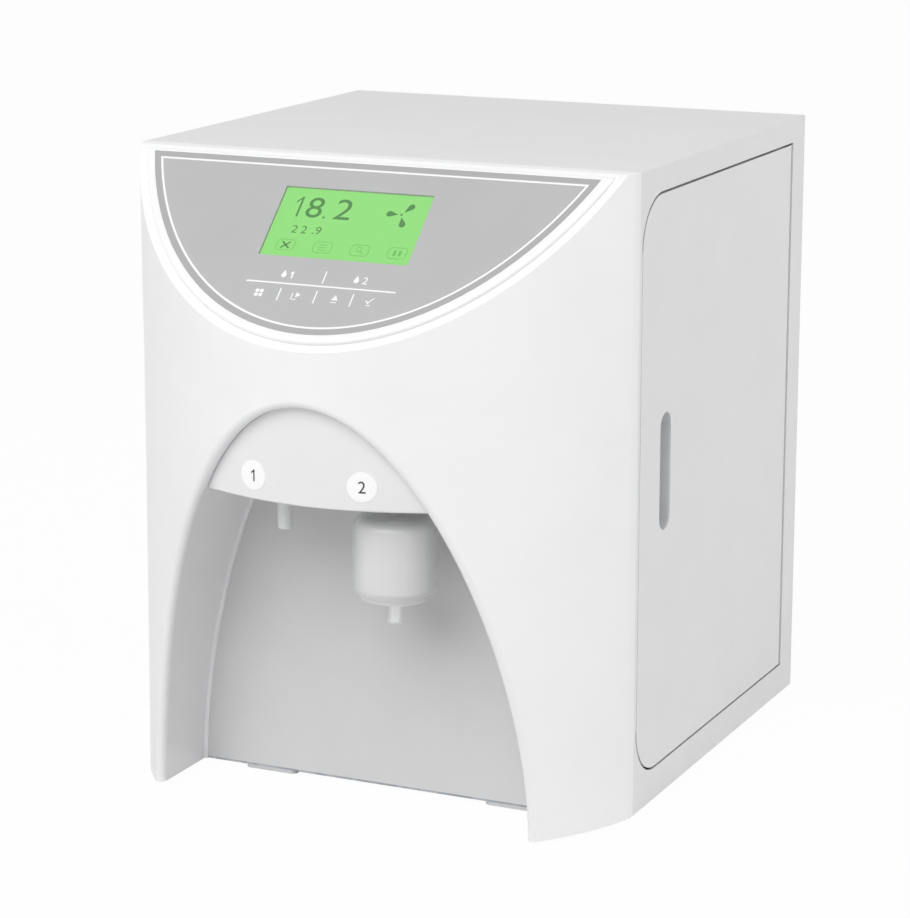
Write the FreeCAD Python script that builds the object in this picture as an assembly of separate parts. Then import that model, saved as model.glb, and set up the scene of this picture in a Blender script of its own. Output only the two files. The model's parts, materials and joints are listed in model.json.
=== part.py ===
import FreeCAD, Part
import math
import os

# Bench-top ultrapure water system. A bulged front carries a sloped control panel over an
# arched dispensing bay. A door in the right side covers the filter cartridges, and the
# pump, membrane, valve, power supply and boards stand on the base behind the bay.
# Millimetres. X runs to the right, Y from the front to the back and Z up.
# While the pieces are made, y is 0 at the front corners of the side walls. save() then
# moves each piece, so that the origin lies on the ground under the middle of the whole.

Vector = FreeCAD.Vector
RIGHT = Vector(1, 0, 0)
BACK = Vector(0, 1, 0)
UP = Vector(0, 0, 1)

# Body
body_width = 370.0
body_height = 440.0
body_depth = 333.0
bulge_depth = 125.0
foot_bulge = 9.5
foot_bulge_power = 1.3
bulge_levels = 6
corner_radius = 20.0
sheet = 1.5
cover_wall = 3.0

# Clearances
fit_gap = 0.3
seat_gap = 0.1
running_gap = 0.05
seam_margin = 1.0
overrun = 5.0

# Feet
foot_proud = 2.5
foot_width = 40.0
foot_length = 26.0
foot_corner = 4.0
foot_peg_radius = 3.0
foot_peg_length = 4.0
foot_left_x = -86.0
foot_right_x = 101.0
foot_rear_margin = 8.0

# Sloped panel, measured down the slope from its top edge
facet_angle = 43.5
facet_start = 8.5
pad_inset = 6.0
pad_top_inset = 4.0
pad_height = 3.0
pad_round = 2.4
overlay_inset = 12.4
overlay_top_inset = 7.7
overlay_thickness = 0.5
window_width = 109.2
window_height = 57.5
window_drop = 30.0
window_corner = 0.8
window_thickness = 1.2
key_pitch = 26.5
key_upper_drop = 102.3
key_lower_drop = 118.4
key_stem_radius = 2.4
key_head_radius = 4.0
key_head_height = 1.2
key_travel = 0.3
switch_side = 6.2
switch_height = 4.0
board_thickness = 1.6
display_frame_margin = 7.0
display_depth = 9.0
display_board_margin = 16.0
display_board_gap = 0.4
key_board_width = 106.0
key_board_height = 27.0
key_board_drop = 97.5
standoff_radius = 2.75
standoff_edge = 4.0

# Dispensing bay
leg_width = 46.5
arch_drop = 148.0
arch_side_share = 0.99
arch_crown_share = 1.17
arch_steps = 26
arch_round = 4.5
bay_wall_forward = 10.0
bay_flange = 2.5
bay_flange_wall = 1.5
bay_flange_round = 1.0
bay_panel_thickness = 2.0
bay_panel_rise = 28.0
head_drop = 67.0
head_setback = 8.5
head_wall = 2.5
head_edge_round = 1.0
label_radius = 10.0
label_thickness = 0.3
label_x = 40.0
label_rise = 16.4
outlet_x = 41.4
outlet_forward = 66.5
spout_radius = 4.85
spout_bore = 3.0
spout_drop = 30.6
spout_neck_radius = 5.6
spout_neck_proud = 0.4
spout_collar_radius = 8.0
spout_collar_height = 4.0
spout_stub = 14.0
spout_tip_round = 0.8

# Filter capsule under the right outlet
capsule_radius = 28.5
capsule_wall = 2.0
capsule_top_drop = 12.1
capsule_length = 57.2
capsule_shoulder = 7.7
capsule_base_round = 9.0
capsule_neck_radius = 5.6
capsule_tip_radius = 5.65
capsule_bore = 3.2
capsule_tip_drop = 86.0
pleat_count = 24
pleat_outer = 22.0
pleat_inner = 17.0
pleat_core_radius = 7.0
pleat_end_gap = 4.0
socket_depth = 8.0

# Side door
door_front = 10.0
door_rear_margin = 29.7
door_bottom = 24.0
door_top_margin = 19.0
door_corner = 34.0
door_gap = 1.7
hinge_gap = 4.5
door_depth = 12.0
hinge_inset_x = 6.0
hinge_inset_y = 20.8
hinge_pin_radius = 2.5
hinge_pin_reach = 9.0
hinge_pin_proud = 1.0
bush_radius = 4.0
bush_length = 6.0
bracket_thickness = 2.0
bracket_width = 22.0
bracket_reach = 13.0
bracket_leg = 8.0
slot_width = 19.7
slot_length = 82.0
slot_from_front = 46.1
slot_above_middle = 7.6
cup_wall = 1.5
cup_depth = 14.0
cup_rim = 5.0
stop_depth = 18.5
stop_ledge = 12.0
magnet_width = 9.0
magnet_length = 34.0
magnet_gap = 0.5
magnet_height_from_end = 70.0

# Rear panel
vent_count = 9
vent_length = 62.0
vent_width = 4.0
vent_pitch = 10.0
vent_from_side = 90.0
vent_drop = 120.0
port_count = 3
port_pitch = 30.0
port_from_wall = 88.0
port_z = 78.0
port_tube_radius = 3.25
port_tube_depth = 15.0
port_body_radius = 7.0
port_flange_radius = 11.0
port_flange_height = 4.0
port_collet_radius = 5.6
port_collet_height = 4.5
port_reach = 12.0
port_inside = 22.0
port_nut_height = 5.0
port_nut_flats = 19.0
inlet_from_side = 45.0
inlet_z = 70.0
inlet_width = 27.0
inlet_height = 20.0
inlet_depth = 22.0
inlet_flange = 4.5
inlet_flange_height = 3.0
inlet_socket_width = 23.0
inlet_socket_height = 15.5
inlet_socket_depth = 17.0
inlet_socket_chamfer = 4.0
inlet_pin_width = 2.0
inlet_pin_height = 4.0
inlet_pin_length = 11.0
inlet_pin_pitch = 7.0
inlet_pin_raise = 2.5
switch_rise = 40.0
rocker_width = 11.0
rocker_height = 19.0
rocker_frame = 3.0
rocker_frame_height = 2.0
rocker_depth = 15.0
rocker_axis_depth = 3.0
rocker_swell = 4.2
rocker_tilt = 9.0
rocker_pin_radius = 1.2
rocker_clear = 1.0

# Screws
screw_radius = 1.5
screw_length = 8.0
screw_head_radius = 3.0
screw_head_height = 2.0
screw_slot_width = 0.7
screw_slot_length = 3.4
screw_slot_depth = 1.0
rear_screw_margin = 8.0
flange_height = 14.0
base_screw_shares = (0.1, 0.5, 0.9)

# Wet side, behind the door
wet_width = 117.0
inner_wall_drop = 90.0
inner_wall_flange = 12.0
cartridge_gap = 10.0
cartridge_door_gap = 27.5
cartridge_wall = 2.5
cartridge_count = 3
cartridge_first_y = 54.0
cartridge_rear_margin = 107.0
cartridge_bottom = 36.0
cartridge_stand_off = 12.0
cartridge_dome_share = 0.42
cartridge_shoulder = 12.0
cartridge_neck_radius = 22.0
cartridge_neck_length = 20.0
media_gap = 1.0
core_bore = 9.0
manifold_drop = 117.0
manifold_width = 60.0
manifold_height = 18.0
manifold_head_radius = 30.0
manifold_head_height = 26.0
manifold_socket_depth = 19.0
manifold_margin = 40.0
manifold_port_radius = 6.0
manifold_port_length = 12.0
manifold_port_offset = 20.0
clip_width = 16.0
clip_wall = 2.0
clip_opening_angle = 100.0
clip_shares = (0.22, 0.72)

# Membrane housing, on the left wall
membrane_radius = 31.0
membrane_wall = 3.0
membrane_rear_margin = 71.0
membrane_bottom = 46.0
membrane_stand_off = 12.0
membrane_drop = 104.0
membrane_cap_radius = 36.0
membrane_cap_height = 30.0
membrane_cap_overlap = 14.0
membrane_cap_ribs = 18
membrane_rib_radius = 1.5
membrane_port_radius = 6.0
membrane_port_length = 10.0
membrane_core_gap = 1.0

# Booster pump
pump_from_side = 72.0
pump_z = 62.0
pump_front = 40.0
pump_head_side = 66.0
pump_head_length = 46.0
pump_head_wall = 8.0
pump_head_chamfer = 12.0
pump_port_radius = 6.0
pump_port_length = 12.0
pump_port_spread = 18.0
motor_radius = 29.0
motor_wall = 1.6
motor_length = 92.0
motor_end = 3.0
shaft_radius = 2.5
armature_radius = 19.0
armature_length = 46.0
armature_slots = 5
armature_slot_width = 5.0
armature_slot_depth = 8.0
magnet_ring_wall = 6.0
bearing_radius = 6.5
bearing_width = 5.0
eccentric_radius = 14.0
eccentric_throw = 2.5
eccentric_width = 14.0
eccentric_gap = 4.0
cradle_thickness = 2.5
cradle_length = 60.0
cradle_width = 74.0
cradle_foot = 3.0
grommet_radius = 7.0
grommet_height = 8.0
grommet_hole_inset = 9.0

# Inlet valve
valve_rear_margin = 133.0
valve_body_side = 30.0
valve_body_height = 22.0
valve_port_radius = 6.0
valve_port_length = 12.0
valve_bracket_wall = 2.0
coil_side = 32.0
coil_height = 34.0
core_tube_radius = 6.5
core_tube_height = 36.0
plunger_radius = 5.0
plunger_length = 24.0
plunger_travel = 2.0

# Power supply and control board, on the left wall
supply_membrane_gap = 42.0
supply_width = 38.0
supply_height = 98.0
supply_y = 60.0
supply_drop = 230.0
supply_slot_count = 12
supply_slot_width = 3.0
supply_slot_height = 40.0
supply_slot_pitch = 9.0
board_end_margin = 50.0
board_height = 100.0
board_y = 20.0
board_drop = 120.0
board_stand = 8.0
chip_height = 3.0
chip_side = 14.0
terminal_width = 9.0
terminal_height = 11.0
capacitor_radius = 6.0
capacitor_height = 18.0

# Tubing
hose_radius = 3.175
hose_bore = 2.0
hose_bend = 12.0
hose_clearance = 0.5
hose_floor_height = 19.5
hose_level_drop = 77.0
hose_level_step = 18.0
hose_front_y = 14.0
hose_pump_forward = 20.0
hose_wall_gap = 18.0
hose_membrane_step = 26.0
hose_rear_margin = 58.0
hose_valve_forward = 23.0
hose_capsule_y = 52.0
hose_exit_rise = 16.0

# Worked out from the sizes above
half_width = body_width / 2
inner_half = half_width - sheet
base_z = foot_proud
floor_z = base_z + sheet
top_z = base_z + body_height
bulge_radius = (half_width**2 + bulge_depth**2) / (2 * bulge_depth)
bulge_centre_y = bulge_radius - bulge_depth
side_kink = math.atan2(bulge_centre_y, half_width)
seam_y = corner_radius * math.tan(side_kink / 2) + seam_margin
rear_reach = body_depth + port_reach
shift_y = (bulge_depth - rear_reach) / 2
slope_cos = math.cos(math.radians(facet_angle))
arch_half_width = half_width - leg_width
arch_height = body_height - arch_drop
bay_wall_y = -bay_wall_forward
flange_y = bay_wall_y - bay_flange_wall
head_z = base_z + arch_height - head_drop
outlet_y = -outlet_forward
door_back = body_depth - door_rear_margin
door_low = base_z + door_bottom
door_high = top_z - door_top_margin
hinge_x = half_width - hinge_inset_x
hinge_y = door_back - hinge_inset_y
inlet_x = -half_width + inlet_from_side
switch_z = base_z + inlet_z + switch_rise
inner_wall_x = half_width - wet_width
port_first_x = inner_wall_x - port_from_wall
cartridge_last_y = body_depth - cartridge_rear_margin
cartridge_pitch = (cartridge_last_y - cartridge_first_y) / (cartridge_count - 1)
cartridge_room = wet_width - sheet - cartridge_stand_off - cartridge_door_gap
cartridge_radius = min(cartridge_pitch - cartridge_gap, cartridge_room) / 2
cartridge_dome = cartridge_dome_share * cartridge_radius
cartridge_x = inner_wall_x + sheet + cartridge_stand_off + cartridge_radius
manifold_high = top_z - manifold_drop
manifold_low = manifold_high - manifold_height
manifold_seat = manifold_low - manifold_head_height
cartridge_top = manifold_seat + manifold_socket_depth
cartridge_length = cartridge_top - base_z - cartridge_bottom
membrane_x = -inner_half + membrane_stand_off + clip_wall + membrane_radius
membrane_y = body_depth - membrane_rear_margin
membrane_low = base_z + membrane_bottom
membrane_high = top_z - membrane_drop
membrane_length = membrane_high - membrane_low
pump_x = -half_width + pump_from_side
pump_back = pump_front + pump_head_length
rotor_z = base_z + pump_z
valve_x = port_first_x
valve_y = body_depth - valve_rear_margin
valve_low = base_z + port_z - valve_body_height / 2
valve_high = valve_low + valve_body_height
supply_length = membrane_y - supply_membrane_gap - supply_y
board_length = supply_y + supply_length - board_end_margin - board_y


def box(x0, x1, y0, y1, z0, z1):
    return Part.makeBox(x1 - x0, y1 - y0, z1 - z0, Vector(x0, y0, z0))


def rod(radius, length, base, axis):
    return Part.makeCylinder(radius, length, base, axis)


def pipe(outer, inner, length, base, axis):
    return rod(outer, length, base, axis).cut(rod(inner, length, base, axis))


def joined(shapes):
    whole = shapes[0]
    if len(shapes) > 1:
        whole = whole.fuse(shapes[1:])
    return whole.removeSplitter()


def group(shapes):
    return Part.makeCompound(shapes)


def edges_where(shape, test):
    return [edge for edge in shape.Edges if test(edge)]


def middle(edge):
    return edge.valueAt((edge.FirstParameter + edge.LastParameter) / 2)


def close_to(value, target):
    return abs(value - target) < seat_gap


def rounded_block(x0, x1, y0, y1, z0, z1, radius):
    block = box(x0, x1, y0, y1, z0, z1)
    upright = edges_where(block, lambda edge: close_to(edge.BoundBox.ZLength, z1 - z0))
    return block.makeFillet(radius, upright)


def upright_prism(points, z0, height):
    loop = [Vector(x, y, z0) for x, y in points]
    return Part.Face(Part.makePolygon(loop + loop[:1])).extrude(UP * height)


def regular_prism(sides, flats, height, base, axis):
    corner = flats / 2 / math.cos(math.pi / sides)
    turns = [2 * math.pi * step / sides for step in range(sides)]
    loop = [Vector(corner * math.cos(turn), corner * math.sin(turn), 0) for turn in turns]
    prism = Part.Face(Part.makePolygon(loop + loop[:1])).extrude(UP * height)
    prism.Placement = FreeCAD.Placement(base, FreeCAD.Rotation(UP, axis))
    return prism


def revolved(profile, base):
    """Turn (radius, height) points about the upright line through base."""
    loop = [Vector(radius, 0, height) for radius, height in profile]
    face = Part.Face(Part.makePolygon(loop + loop[:1]))
    solid = face.revolve(Vector(0, 0, 0), UP, 360)
    solid.translate(base)
    return solid


def screw(base, axis):
    """A pan-head screw whose head sits on base and whose shank runs against axis."""
    head = rod(screw_head_radius, screw_head_height, Vector(0, 0, 0), UP)
    rim = edges_where(head, lambda edge: close_to(middle(edge).z, screw_head_height))
    head = head.makeFillet(screw_head_height / 2, [edge for edge in rim if edge.Closed])
    shank = rod(screw_radius, screw_length, Vector(0, 0, -screw_length), UP)
    reach = screw_slot_length / 2
    half = screw_slot_width / 2
    low = screw_head_height - screw_slot_depth
    high = screw_head_height + overrun
    cross = [box(-reach, reach, -half, half, low, high), box(-half, half, -reach, reach, low, high)]
    whole = joined([head, shank]).cut(cross)
    whole.Placement = FreeCAD.Placement(base, FreeCAD.Rotation(UP, axis))
    return whole


def on_facet(shape):
    """Lay a shape made about the panel's top edge, y up the slope, onto the slope."""
    shape.Placement = FreeCAD.Placement(
        Vector(0, -facet_start, top_z), FreeCAD.Rotation(RIGHT, facet_angle)
    ).multiply(shape.Placement)
    return shape


def facet_outline(inset, top_inset, low, high):
    """Part of the sloped panel inside its edge by inset, as a prism from low to high."""
    across = bulge_radius - inset
    along = bulge_radius / slope_cos - inset
    centre = (bulge_centre_y + facet_start) / slope_cos
    ellipse = Part.Ellipse(Vector(0, centre + along, low), Vector(across, centre, low),
                           Vector(0, centre, low))
    disc = Part.Face(Part.Wire(ellipse.toShape())).extrude(UP * (high - low))
    keep = box(-body_width, body_width, -2 * body_height, -top_inset, low, high)
    return disc.common(keep)


def above_facet(depth):
    """Everything over the sloped panel, down to depth below its face."""
    far = body_width + body_height
    return on_facet(box(-far, far, -far, far, -depth, far))


def bulge_arc(level):
    """Radius and centre of the bulge's arc, which grows deeper from the arch's top down."""
    share = max(0, 1 - (level - base_z) / arch_height)
    depth = bulge_depth + foot_bulge * share**foot_bulge_power
    radius = (half_width**2 + depth**2) / (2 * depth)
    return radius, radius - depth


def plan_outline(inset, rear, level):
    half = half_width - inset
    radius, centre = bulge_arc(level)
    corner = centre - math.sqrt((radius - inset)**2 - half**2)
    left_rear = Vector(-half, rear, level)
    left = Vector(-half, corner, level)
    nose = Vector(0, centre - radius + inset, level)
    right = Vector(half, corner, level)
    right_rear = Vector(half, rear, level)
    return Part.Wire([
        Part.LineSegment(left_rear, left).toShape(),
        Part.Arc(left, nose, right).toShape(),
        Part.LineSegment(right, right_rear).toShape(),
        Part.LineSegment(right_rear, left_rear).toShape(),
    ])


def plan_block(inset, rear, low, high):
    """The bulged front's plan, held in by inset, as an upright block."""
    arch_top = base_z + arch_height
    blocks = []
    if high > arch_top:
        outline = plan_outline(inset, rear, arch_top)
        blocks.append(Part.Face(outline).extrude(UP * (high - arch_top)))
        high = arch_top
    steps = [low + (high - low) * step / bulge_levels for step in range(bulge_levels + 1)]
    blocks.append(Part.makeLoft([plan_outline(inset, rear, level) for level in steps], True))
    return joined(blocks)


def arch_prism(inset, front, rear):
    """The bay's arch, held in by inset, from front to rear, with its foot cut long.

    It is a half ellipse whose cosine and sine are raised to shares near 1.
    """
    half = arch_half_width - inset
    rise = arch_height - inset
    points = []
    for step in range(arch_steps + 1):
        turn = math.pi * step / arch_steps
        across = math.copysign(abs(math.cos(turn)) ** arch_side_share, math.cos(turn))
        up = abs(math.sin(turn)) ** arch_crown_share
        points.append(Vector(half * across, front, base_z + rise * up))
    curve = Part.BSplineCurve()
    curve.interpolate(points)
    right_foot = Vector(half, front, base_z - overrun)
    left_foot = Vector(-half, front, base_z - overrun)
    outline = Part.Wire([
        curve.toShape(),
        Part.LineSegment(points[-1], left_foot).toShape(),
        Part.LineSegment(left_foot, right_foot).toShape(),
        Part.LineSegment(right_foot, points[0]).toShape(),
    ])
    return Part.Face(outline).extrude(BACK * (rear - front))


def on_bulge(point):
    radius, centre = bulge_arc(point.z)
    return close_to(math.hypot(point.x, point.y - centre), radius)


def key_places():
    """Each key's name and its centre on the slope, across and down from the top edge."""
    return [
        ("key_dispense_one", -key_pitch, key_upper_drop),
        ("key_dispense_two", key_pitch, key_upper_drop),
        ("key_menu", -1.5 * key_pitch, key_lower_drop),
        ("key_next", -0.5 * key_pitch, key_lower_drop),
        ("key_raise", 0.5 * key_pitch, key_lower_drop),
        ("key_confirm", 1.5 * key_pitch, key_lower_drop),
    ]


def window_block(grow, low, high, corner):
    half = window_width / 2 + grow
    top = -window_drop + grow
    bottom = -window_drop - window_height - grow
    return rounded_block(-half, half, bottom, top, low, high, corner)


def front_cover():
    nose_y = -bulge_depth - foot_bulge - overrun
    blank = plan_block(0, seam_y, base_z, top_z)
    corners = edges_where(blank, lambda edge: edge.BoundBox.ZLength > overrun
                          and close_to(middle(edge).y, 0))
    blank = blank.makeFillet(corner_radius, corners)
    blank = blank.cut(above_facet(0))
    blank = blank.cut(arch_prism(0, nose_y, flange_y))
    arch_top = base_z + arch_height + overrun
    mouth = edges_where(blank, lambda edge: on_bulge(middle(edge)) and not edge.Closed
                        and abs(middle(edge).x) < arch_half_width + seat_gap
                        and edge.BoundBox.ZMax < arch_top and edge.BoundBox.ZLength > overrun)
    blank = blank.makeFillet(arch_round, mouth)
    inner_edge = edges_where(blank, lambda edge: close_to(edge.BoundBox.YLength, 0)
                             and close_to(middle(edge).y, flange_y)
                             and edge.BoundBox.ZLength > overrun)
    blank = blank.makeFillet(bay_flange_round, inner_edge)
    blank = blank.cut(arch_prism(bay_flange, nose_y, seam_y + overrun))
    hollow = plan_block(cover_wall, seam_y + overrun, base_z - overrun, top_z - cover_wall)
    hollow = hollow.cut(above_facet(cover_wall))
    hollow = hollow.cut(arch_prism(-cover_wall, nose_y, bay_wall_y))
    cover = blank.cut(hollow)
    cover = joined([cover, panel_pad(), cover_lip()])
    cutters = [overlay_recess(), on_facet(window_block(fit_gap, -overrun - cover_wall, pad_height,
                                                       window_corner))]
    for _, across, down in key_places():
        place = Vector(across, -down, -cover_wall - overrun)
        length = cover_wall + pad_height + overrun
        cutters.append(on_facet(rod(key_head_radius + fit_gap, length, place, UP)))
    return cover.cut(cutters)


def panel_pad():
    """The raised field that carries the control film, with its edge rolled over."""
    pad = facet_outline(pad_inset, pad_top_inset, -cover_wall / 2, pad_height)
    rim = edges_where(pad, lambda edge: close_to(edge.BoundBox.ZMin, pad_height))
    return on_facet(pad.makeFillet(pad_round, rim))


def overlay_recess():
    inset = overlay_inset - seat_gap
    top = overlay_top_inset - seat_gap
    return on_facet(facet_outline(inset, top, pad_height - overlay_thickness,
                                  pad_height + overrun))


def cover_lip():
    """A tongue behind the seam, inside the housing's walls and top."""
    outer = inner_half - seat_gap
    inner = outer - sheet
    high = top_z - sheet - seat_gap
    rear = door_front - door_gap - sheet - fit_gap
    lip = box(-outer, outer, seam_y - overrun, rear, base_z + flange_height + overrun, high)
    return lip.cut(box(-inner, inner, -body_depth, body_depth, 0, high - sheet))


def control_overlay():
    film = facet_outline(overlay_inset, overlay_top_inset, pad_height - overlay_thickness,
                         pad_height)
    hole = window_block(seat_gap, pad_height - overrun, pad_height + overrun, window_corner)
    return on_facet(film.cut(hole))


def display_window():
    lens = window_block(0, pad_height - window_thickness, pad_height, window_corner)
    return on_facet(lens)


def display_top():
    return pad_height - window_thickness - seat_gap


def display_module():
    """The display glass in its pressed frame, on its own board behind the panel."""
    glass_top = display_top()
    glass = window_block(0, -cover_wall - seat_gap, glass_top, window_corner)
    frame_top = -cover_wall - seat_gap
    frame = window_block(display_frame_margin, frame_top - display_depth, frame_top, window_corner)
    board_top = frame_top - display_depth
    board = display_board_block(board_top - board_thickness, board_top)
    return on_facet(joined([glass, frame, board])).cut(panel_board_holes())


def display_board_block(low, high):
    half = window_width / 2 + display_board_margin
    top = -window_drop + display_board_margin
    bottom = -key_board_drop + display_board_gap
    return box(-half, half, bottom, top, low, high)


def key_board_top():
    return -cover_wall - seat_gap - display_depth


def key_board():
    """The board under the keys, with a push switch below each key stem."""
    top = key_board_top()
    half = key_board_width / 2
    low = -key_board_drop - key_board_height
    board = box(-half, half, low, -key_board_drop, top - board_thickness, top)
    side = switch_side / 2
    switches = [box(across - side, across + side, -down - side, -down + side,
                    top, top + switch_height) for _, across, down in key_places()]
    return on_facet(joined([board] + switches)).cut(panel_board_holes())


def key_stem(across, down):
    """A key's plunger: its head lies under the film and its stem over the switch."""
    top = pad_height - overlay_thickness - seat_gap
    foot = key_board_top() + switch_height + key_travel + seat_gap
    head = rod(key_head_radius, key_head_height, Vector(across, -down, top - key_head_height), UP)
    stem = rod(key_stem_radius, top - foot, Vector(across, -down, foot), UP)
    return on_facet(joined([head, stem]))


def board_stand_places():
    """Standoffs of the display board and the key board, on the slope."""
    half = window_width / 2 + display_board_margin - standoff_edge
    high = -window_drop + display_board_margin - standoff_edge
    low = -key_board_drop + display_board_gap + standoff_edge
    key_half = key_board_width / 2 - standoff_edge
    key_y = -key_board_drop - key_board_height + standoff_edge
    board_top = -cover_wall - seat_gap - display_depth
    places = [(side * half, y) for side in (-1, 1) for y in (high, low)]
    places += [(side * key_half, key_y) for side in (-1, 1)]
    return [Vector(x, y, board_top) for x, y in places]


def panel_board_holes():
    """The screws' holes through the boards behind the panel and into their standoffs."""
    return [on_facet(rod(screw_radius, screw_length, place - UP * board_thickness, UP))
            for place in board_stand_places()]


def board_standoffs():
    """Hexagonal standoffs of the boards behind the panel and of the control board."""
    posts = []
    for place in board_stand_places():
        length = -cover_wall - place.z
        post = regular_prism(6, 2 * standoff_radius, length, place, UP)
        posts.append(on_facet(post).cut(panel_board_holes()))
    for place in control_board_holes():
        post = regular_prism(6, 2 * standoff_radius, board_stand, place, RIGHT)
        posts.append(post.cut(rod(screw_radius, board_stand, place, RIGHT)))
    return group(posts)


def head_block(inset, rear):
    """The dispensing head's outside, held in by inset."""
    block = arch_prism(fit_gap + inset, -bulge_depth, rear)
    bulge = rod(bulge_radius - head_setback - inset, body_height,
                Vector(0, bulge_centre_y, head_z + inset), UP)
    return block.common(bulge)


def dispensing_head():
    rear = flange_y - bay_flange_round - fit_gap
    outside = head_block(0, rear)
    front_edge = edges_where(outside, lambda edge: close_to(edge.BoundBox.ZLength, 0)
                             and close_to(middle(edge).z, head_z) and middle(edge).y < rear
                             and abs(middle(edge).x) < overrun)
    outside = outside.makeFillet(head_edge_round, front_edge)
    shell = outside.cut(head_block(head_wall, rear + overrun))
    holes = [
        rod(spout_neck_radius, 2 * overrun, Vector(-outlet_x, outlet_y, head_z - overrun), UP),
        rod(capsule_neck_radius, 2 * overrun, Vector(outlet_x, outlet_y, head_z - overrun), UP),
    ]
    return shell.cut(holes)


def number_labels():
    """Two round labels that lie on the head's curved face, over the outlets."""
    radius = bulge_radius - head_setback
    discs = []
    for side in (-1, 1):
        x = side * label_x
        y = bulge_centre_y - math.sqrt(radius**2 - x**2)
        centre = Vector(x, y - label_radius, head_z + label_rise)
        disc = rod(label_radius, 2 * label_radius, centre, BACK)
        outer = rod(radius + label_thickness, body_height, Vector(0, bulge_centre_y, 0), UP)
        inner = rod(radius, body_height, Vector(0, bulge_centre_y, 0), UP)
        discs.append(disc.common(outer).cut(inner))
    return group(discs)


def spout():
    """The plain outlet: a tube with a collar that sits on the head's floor."""
    tip = head_z - spout_drop
    neck = head_z - spout_neck_proud
    seat = head_z + head_wall
    top = seat + spout_collar_height + spout_stub
    profile = [
        (spout_bore, tip), (spout_radius - spout_tip_round, tip),
        (spout_radius, tip + spout_tip_round), (spout_radius, neck),
        (spout_neck_radius, neck), (spout_neck_radius, seat),
        (spout_collar_radius, seat), (spout_collar_radius, seat + spout_collar_height),
        (hose_radius, seat + spout_collar_height), (hose_radius, top), (hose_bore, top),
        (hose_bore, seat), (spout_bore, seat - head_wall),
    ]
    return revolved(profile, Vector(-outlet_x, outlet_y, 0))


def capsule_profile(inset):
    """Right half of the capsule's body, held in by inset, with rounded ends."""
    top = head_z - capsule_top_drop - inset
    bottom = head_z - capsule_top_drop - capsule_length + inset
    radius = capsule_radius - inset
    shoulder = capsule_shoulder - inset
    base = capsule_base_round - inset
    turn = math.sqrt(0.5)
    start = Vector(0, 0, bottom)
    low = Vector(radius - base, 0, bottom)
    low_mid = Vector(radius - base + base * turn, 0, bottom + base - base * turn)
    side_low = Vector(radius, 0, bottom + base)
    side_high = Vector(radius, 0, top - shoulder)
    high_mid = Vector(radius - shoulder + shoulder * turn, 0, top - shoulder + shoulder * turn)
    high = Vector(radius - shoulder, 0, top)
    end = Vector(0, 0, top)
    return Part.Face(Part.Wire([
        Part.LineSegment(start, low).toShape(), Part.Arc(low, low_mid, side_low).toShape(),
        Part.LineSegment(side_low, side_high).toShape(),
        Part.Arc(side_high, high_mid, high).toShape(),
        Part.LineSegment(high, end).toShape(), Part.LineSegment(end, start).toShape(),
    ]))


def capsule_body(inset):
    body = capsule_profile(inset).revolve(Vector(0, 0, 0), UP, 360)
    body.translate(Vector(outlet_x, outlet_y, 0))
    return body


def capsule_shell():
    """The clear filter capsule: body, outlet tip below and neck into the head above."""
    axis = Vector(outlet_x, outlet_y, 0)
    tip = head_z - capsule_tip_drop
    neck_top = head_z - capsule_top_drop + socket_depth
    bottom = head_z - capsule_top_drop - capsule_length
    outlet = rod(capsule_tip_radius, bottom + capsule_wall - tip, axis + UP * tip, UP)
    neck_base = head_z - capsule_top_drop - capsule_wall
    neck = rod(capsule_neck_radius, neck_top - neck_base, axis + UP * neck_base, UP)
    whole = joined([capsule_body(0), outlet, neck])
    bore = rod(capsule_bore, body_height, axis + UP * (tip - overrun), UP)
    return whole.cut([capsule_body(capsule_wall), bore])


def capsule_membrane():
    """The pleated filter inside the capsule, a star of folds about an open core."""
    low = head_z - capsule_top_drop - capsule_length + capsule_wall + pleat_end_gap
    high = head_z - capsule_top_drop - capsule_wall - pleat_end_gap
    points = []
    for step in range(2 * pleat_count):
        turn = math.pi * step / pleat_count
        radius = pleat_outer if step % 2 == 0 else pleat_inner
        points.append((radius * math.cos(turn), radius * math.sin(turn)))
    star = upright_prism(points, low, high - low)
    star = star.cut(rod(pleat_core_radius, body_height, Vector(0, 0, 0), UP))
    foot_low = low - pleat_end_gap
    foot = pipe(pleat_core_radius + capsule_wall, capsule_bore, pleat_end_gap,
                Vector(0, 0, foot_low), UP)
    whole = joined([star, foot])
    whole.translate(Vector(outlet_x, outlet_y, 0))
    return whole


def capsule_fitting():
    """The nipple that holds the capsule's neck up in the head."""
    axis = Vector(outlet_x, outlet_y, 0)
    low = head_z - capsule_top_drop + socket_depth
    seat = head_z + head_wall
    shank = rod(capsule_neck_radius, seat - low, axis + UP * low, UP)
    collar = rod(spout_collar_radius, spout_collar_height, axis + UP * seat, UP)
    stub = rod(hose_radius, spout_stub, axis + UP * (seat + spout_collar_height), UP)
    bore = rod(hose_bore, body_height, axis, UP)
    return joined([shank, collar, stub]).cut(bore)


def bay_back_panel():
    """The flat back of the bay, with a hole for the tube to each outlet."""
    rear = bay_wall_y + bay_panel_thickness
    high = base_z + arch_height + bay_panel_rise
    panel = plan_block(cover_wall + fit_gap, seam_y, floor_z, high)
    panel = panel.common(box(-body_width, body_width, bay_wall_y, rear, floor_z, high))
    holes = [rod(hose_radius + hose_clearance, 2 * overrun,
                 Vector(side * outlet_x, bay_wall_y - overrun, outlet_hose_z()), BACK)
             for side in (-1, 1)]
    return panel.cut(holes)


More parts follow.
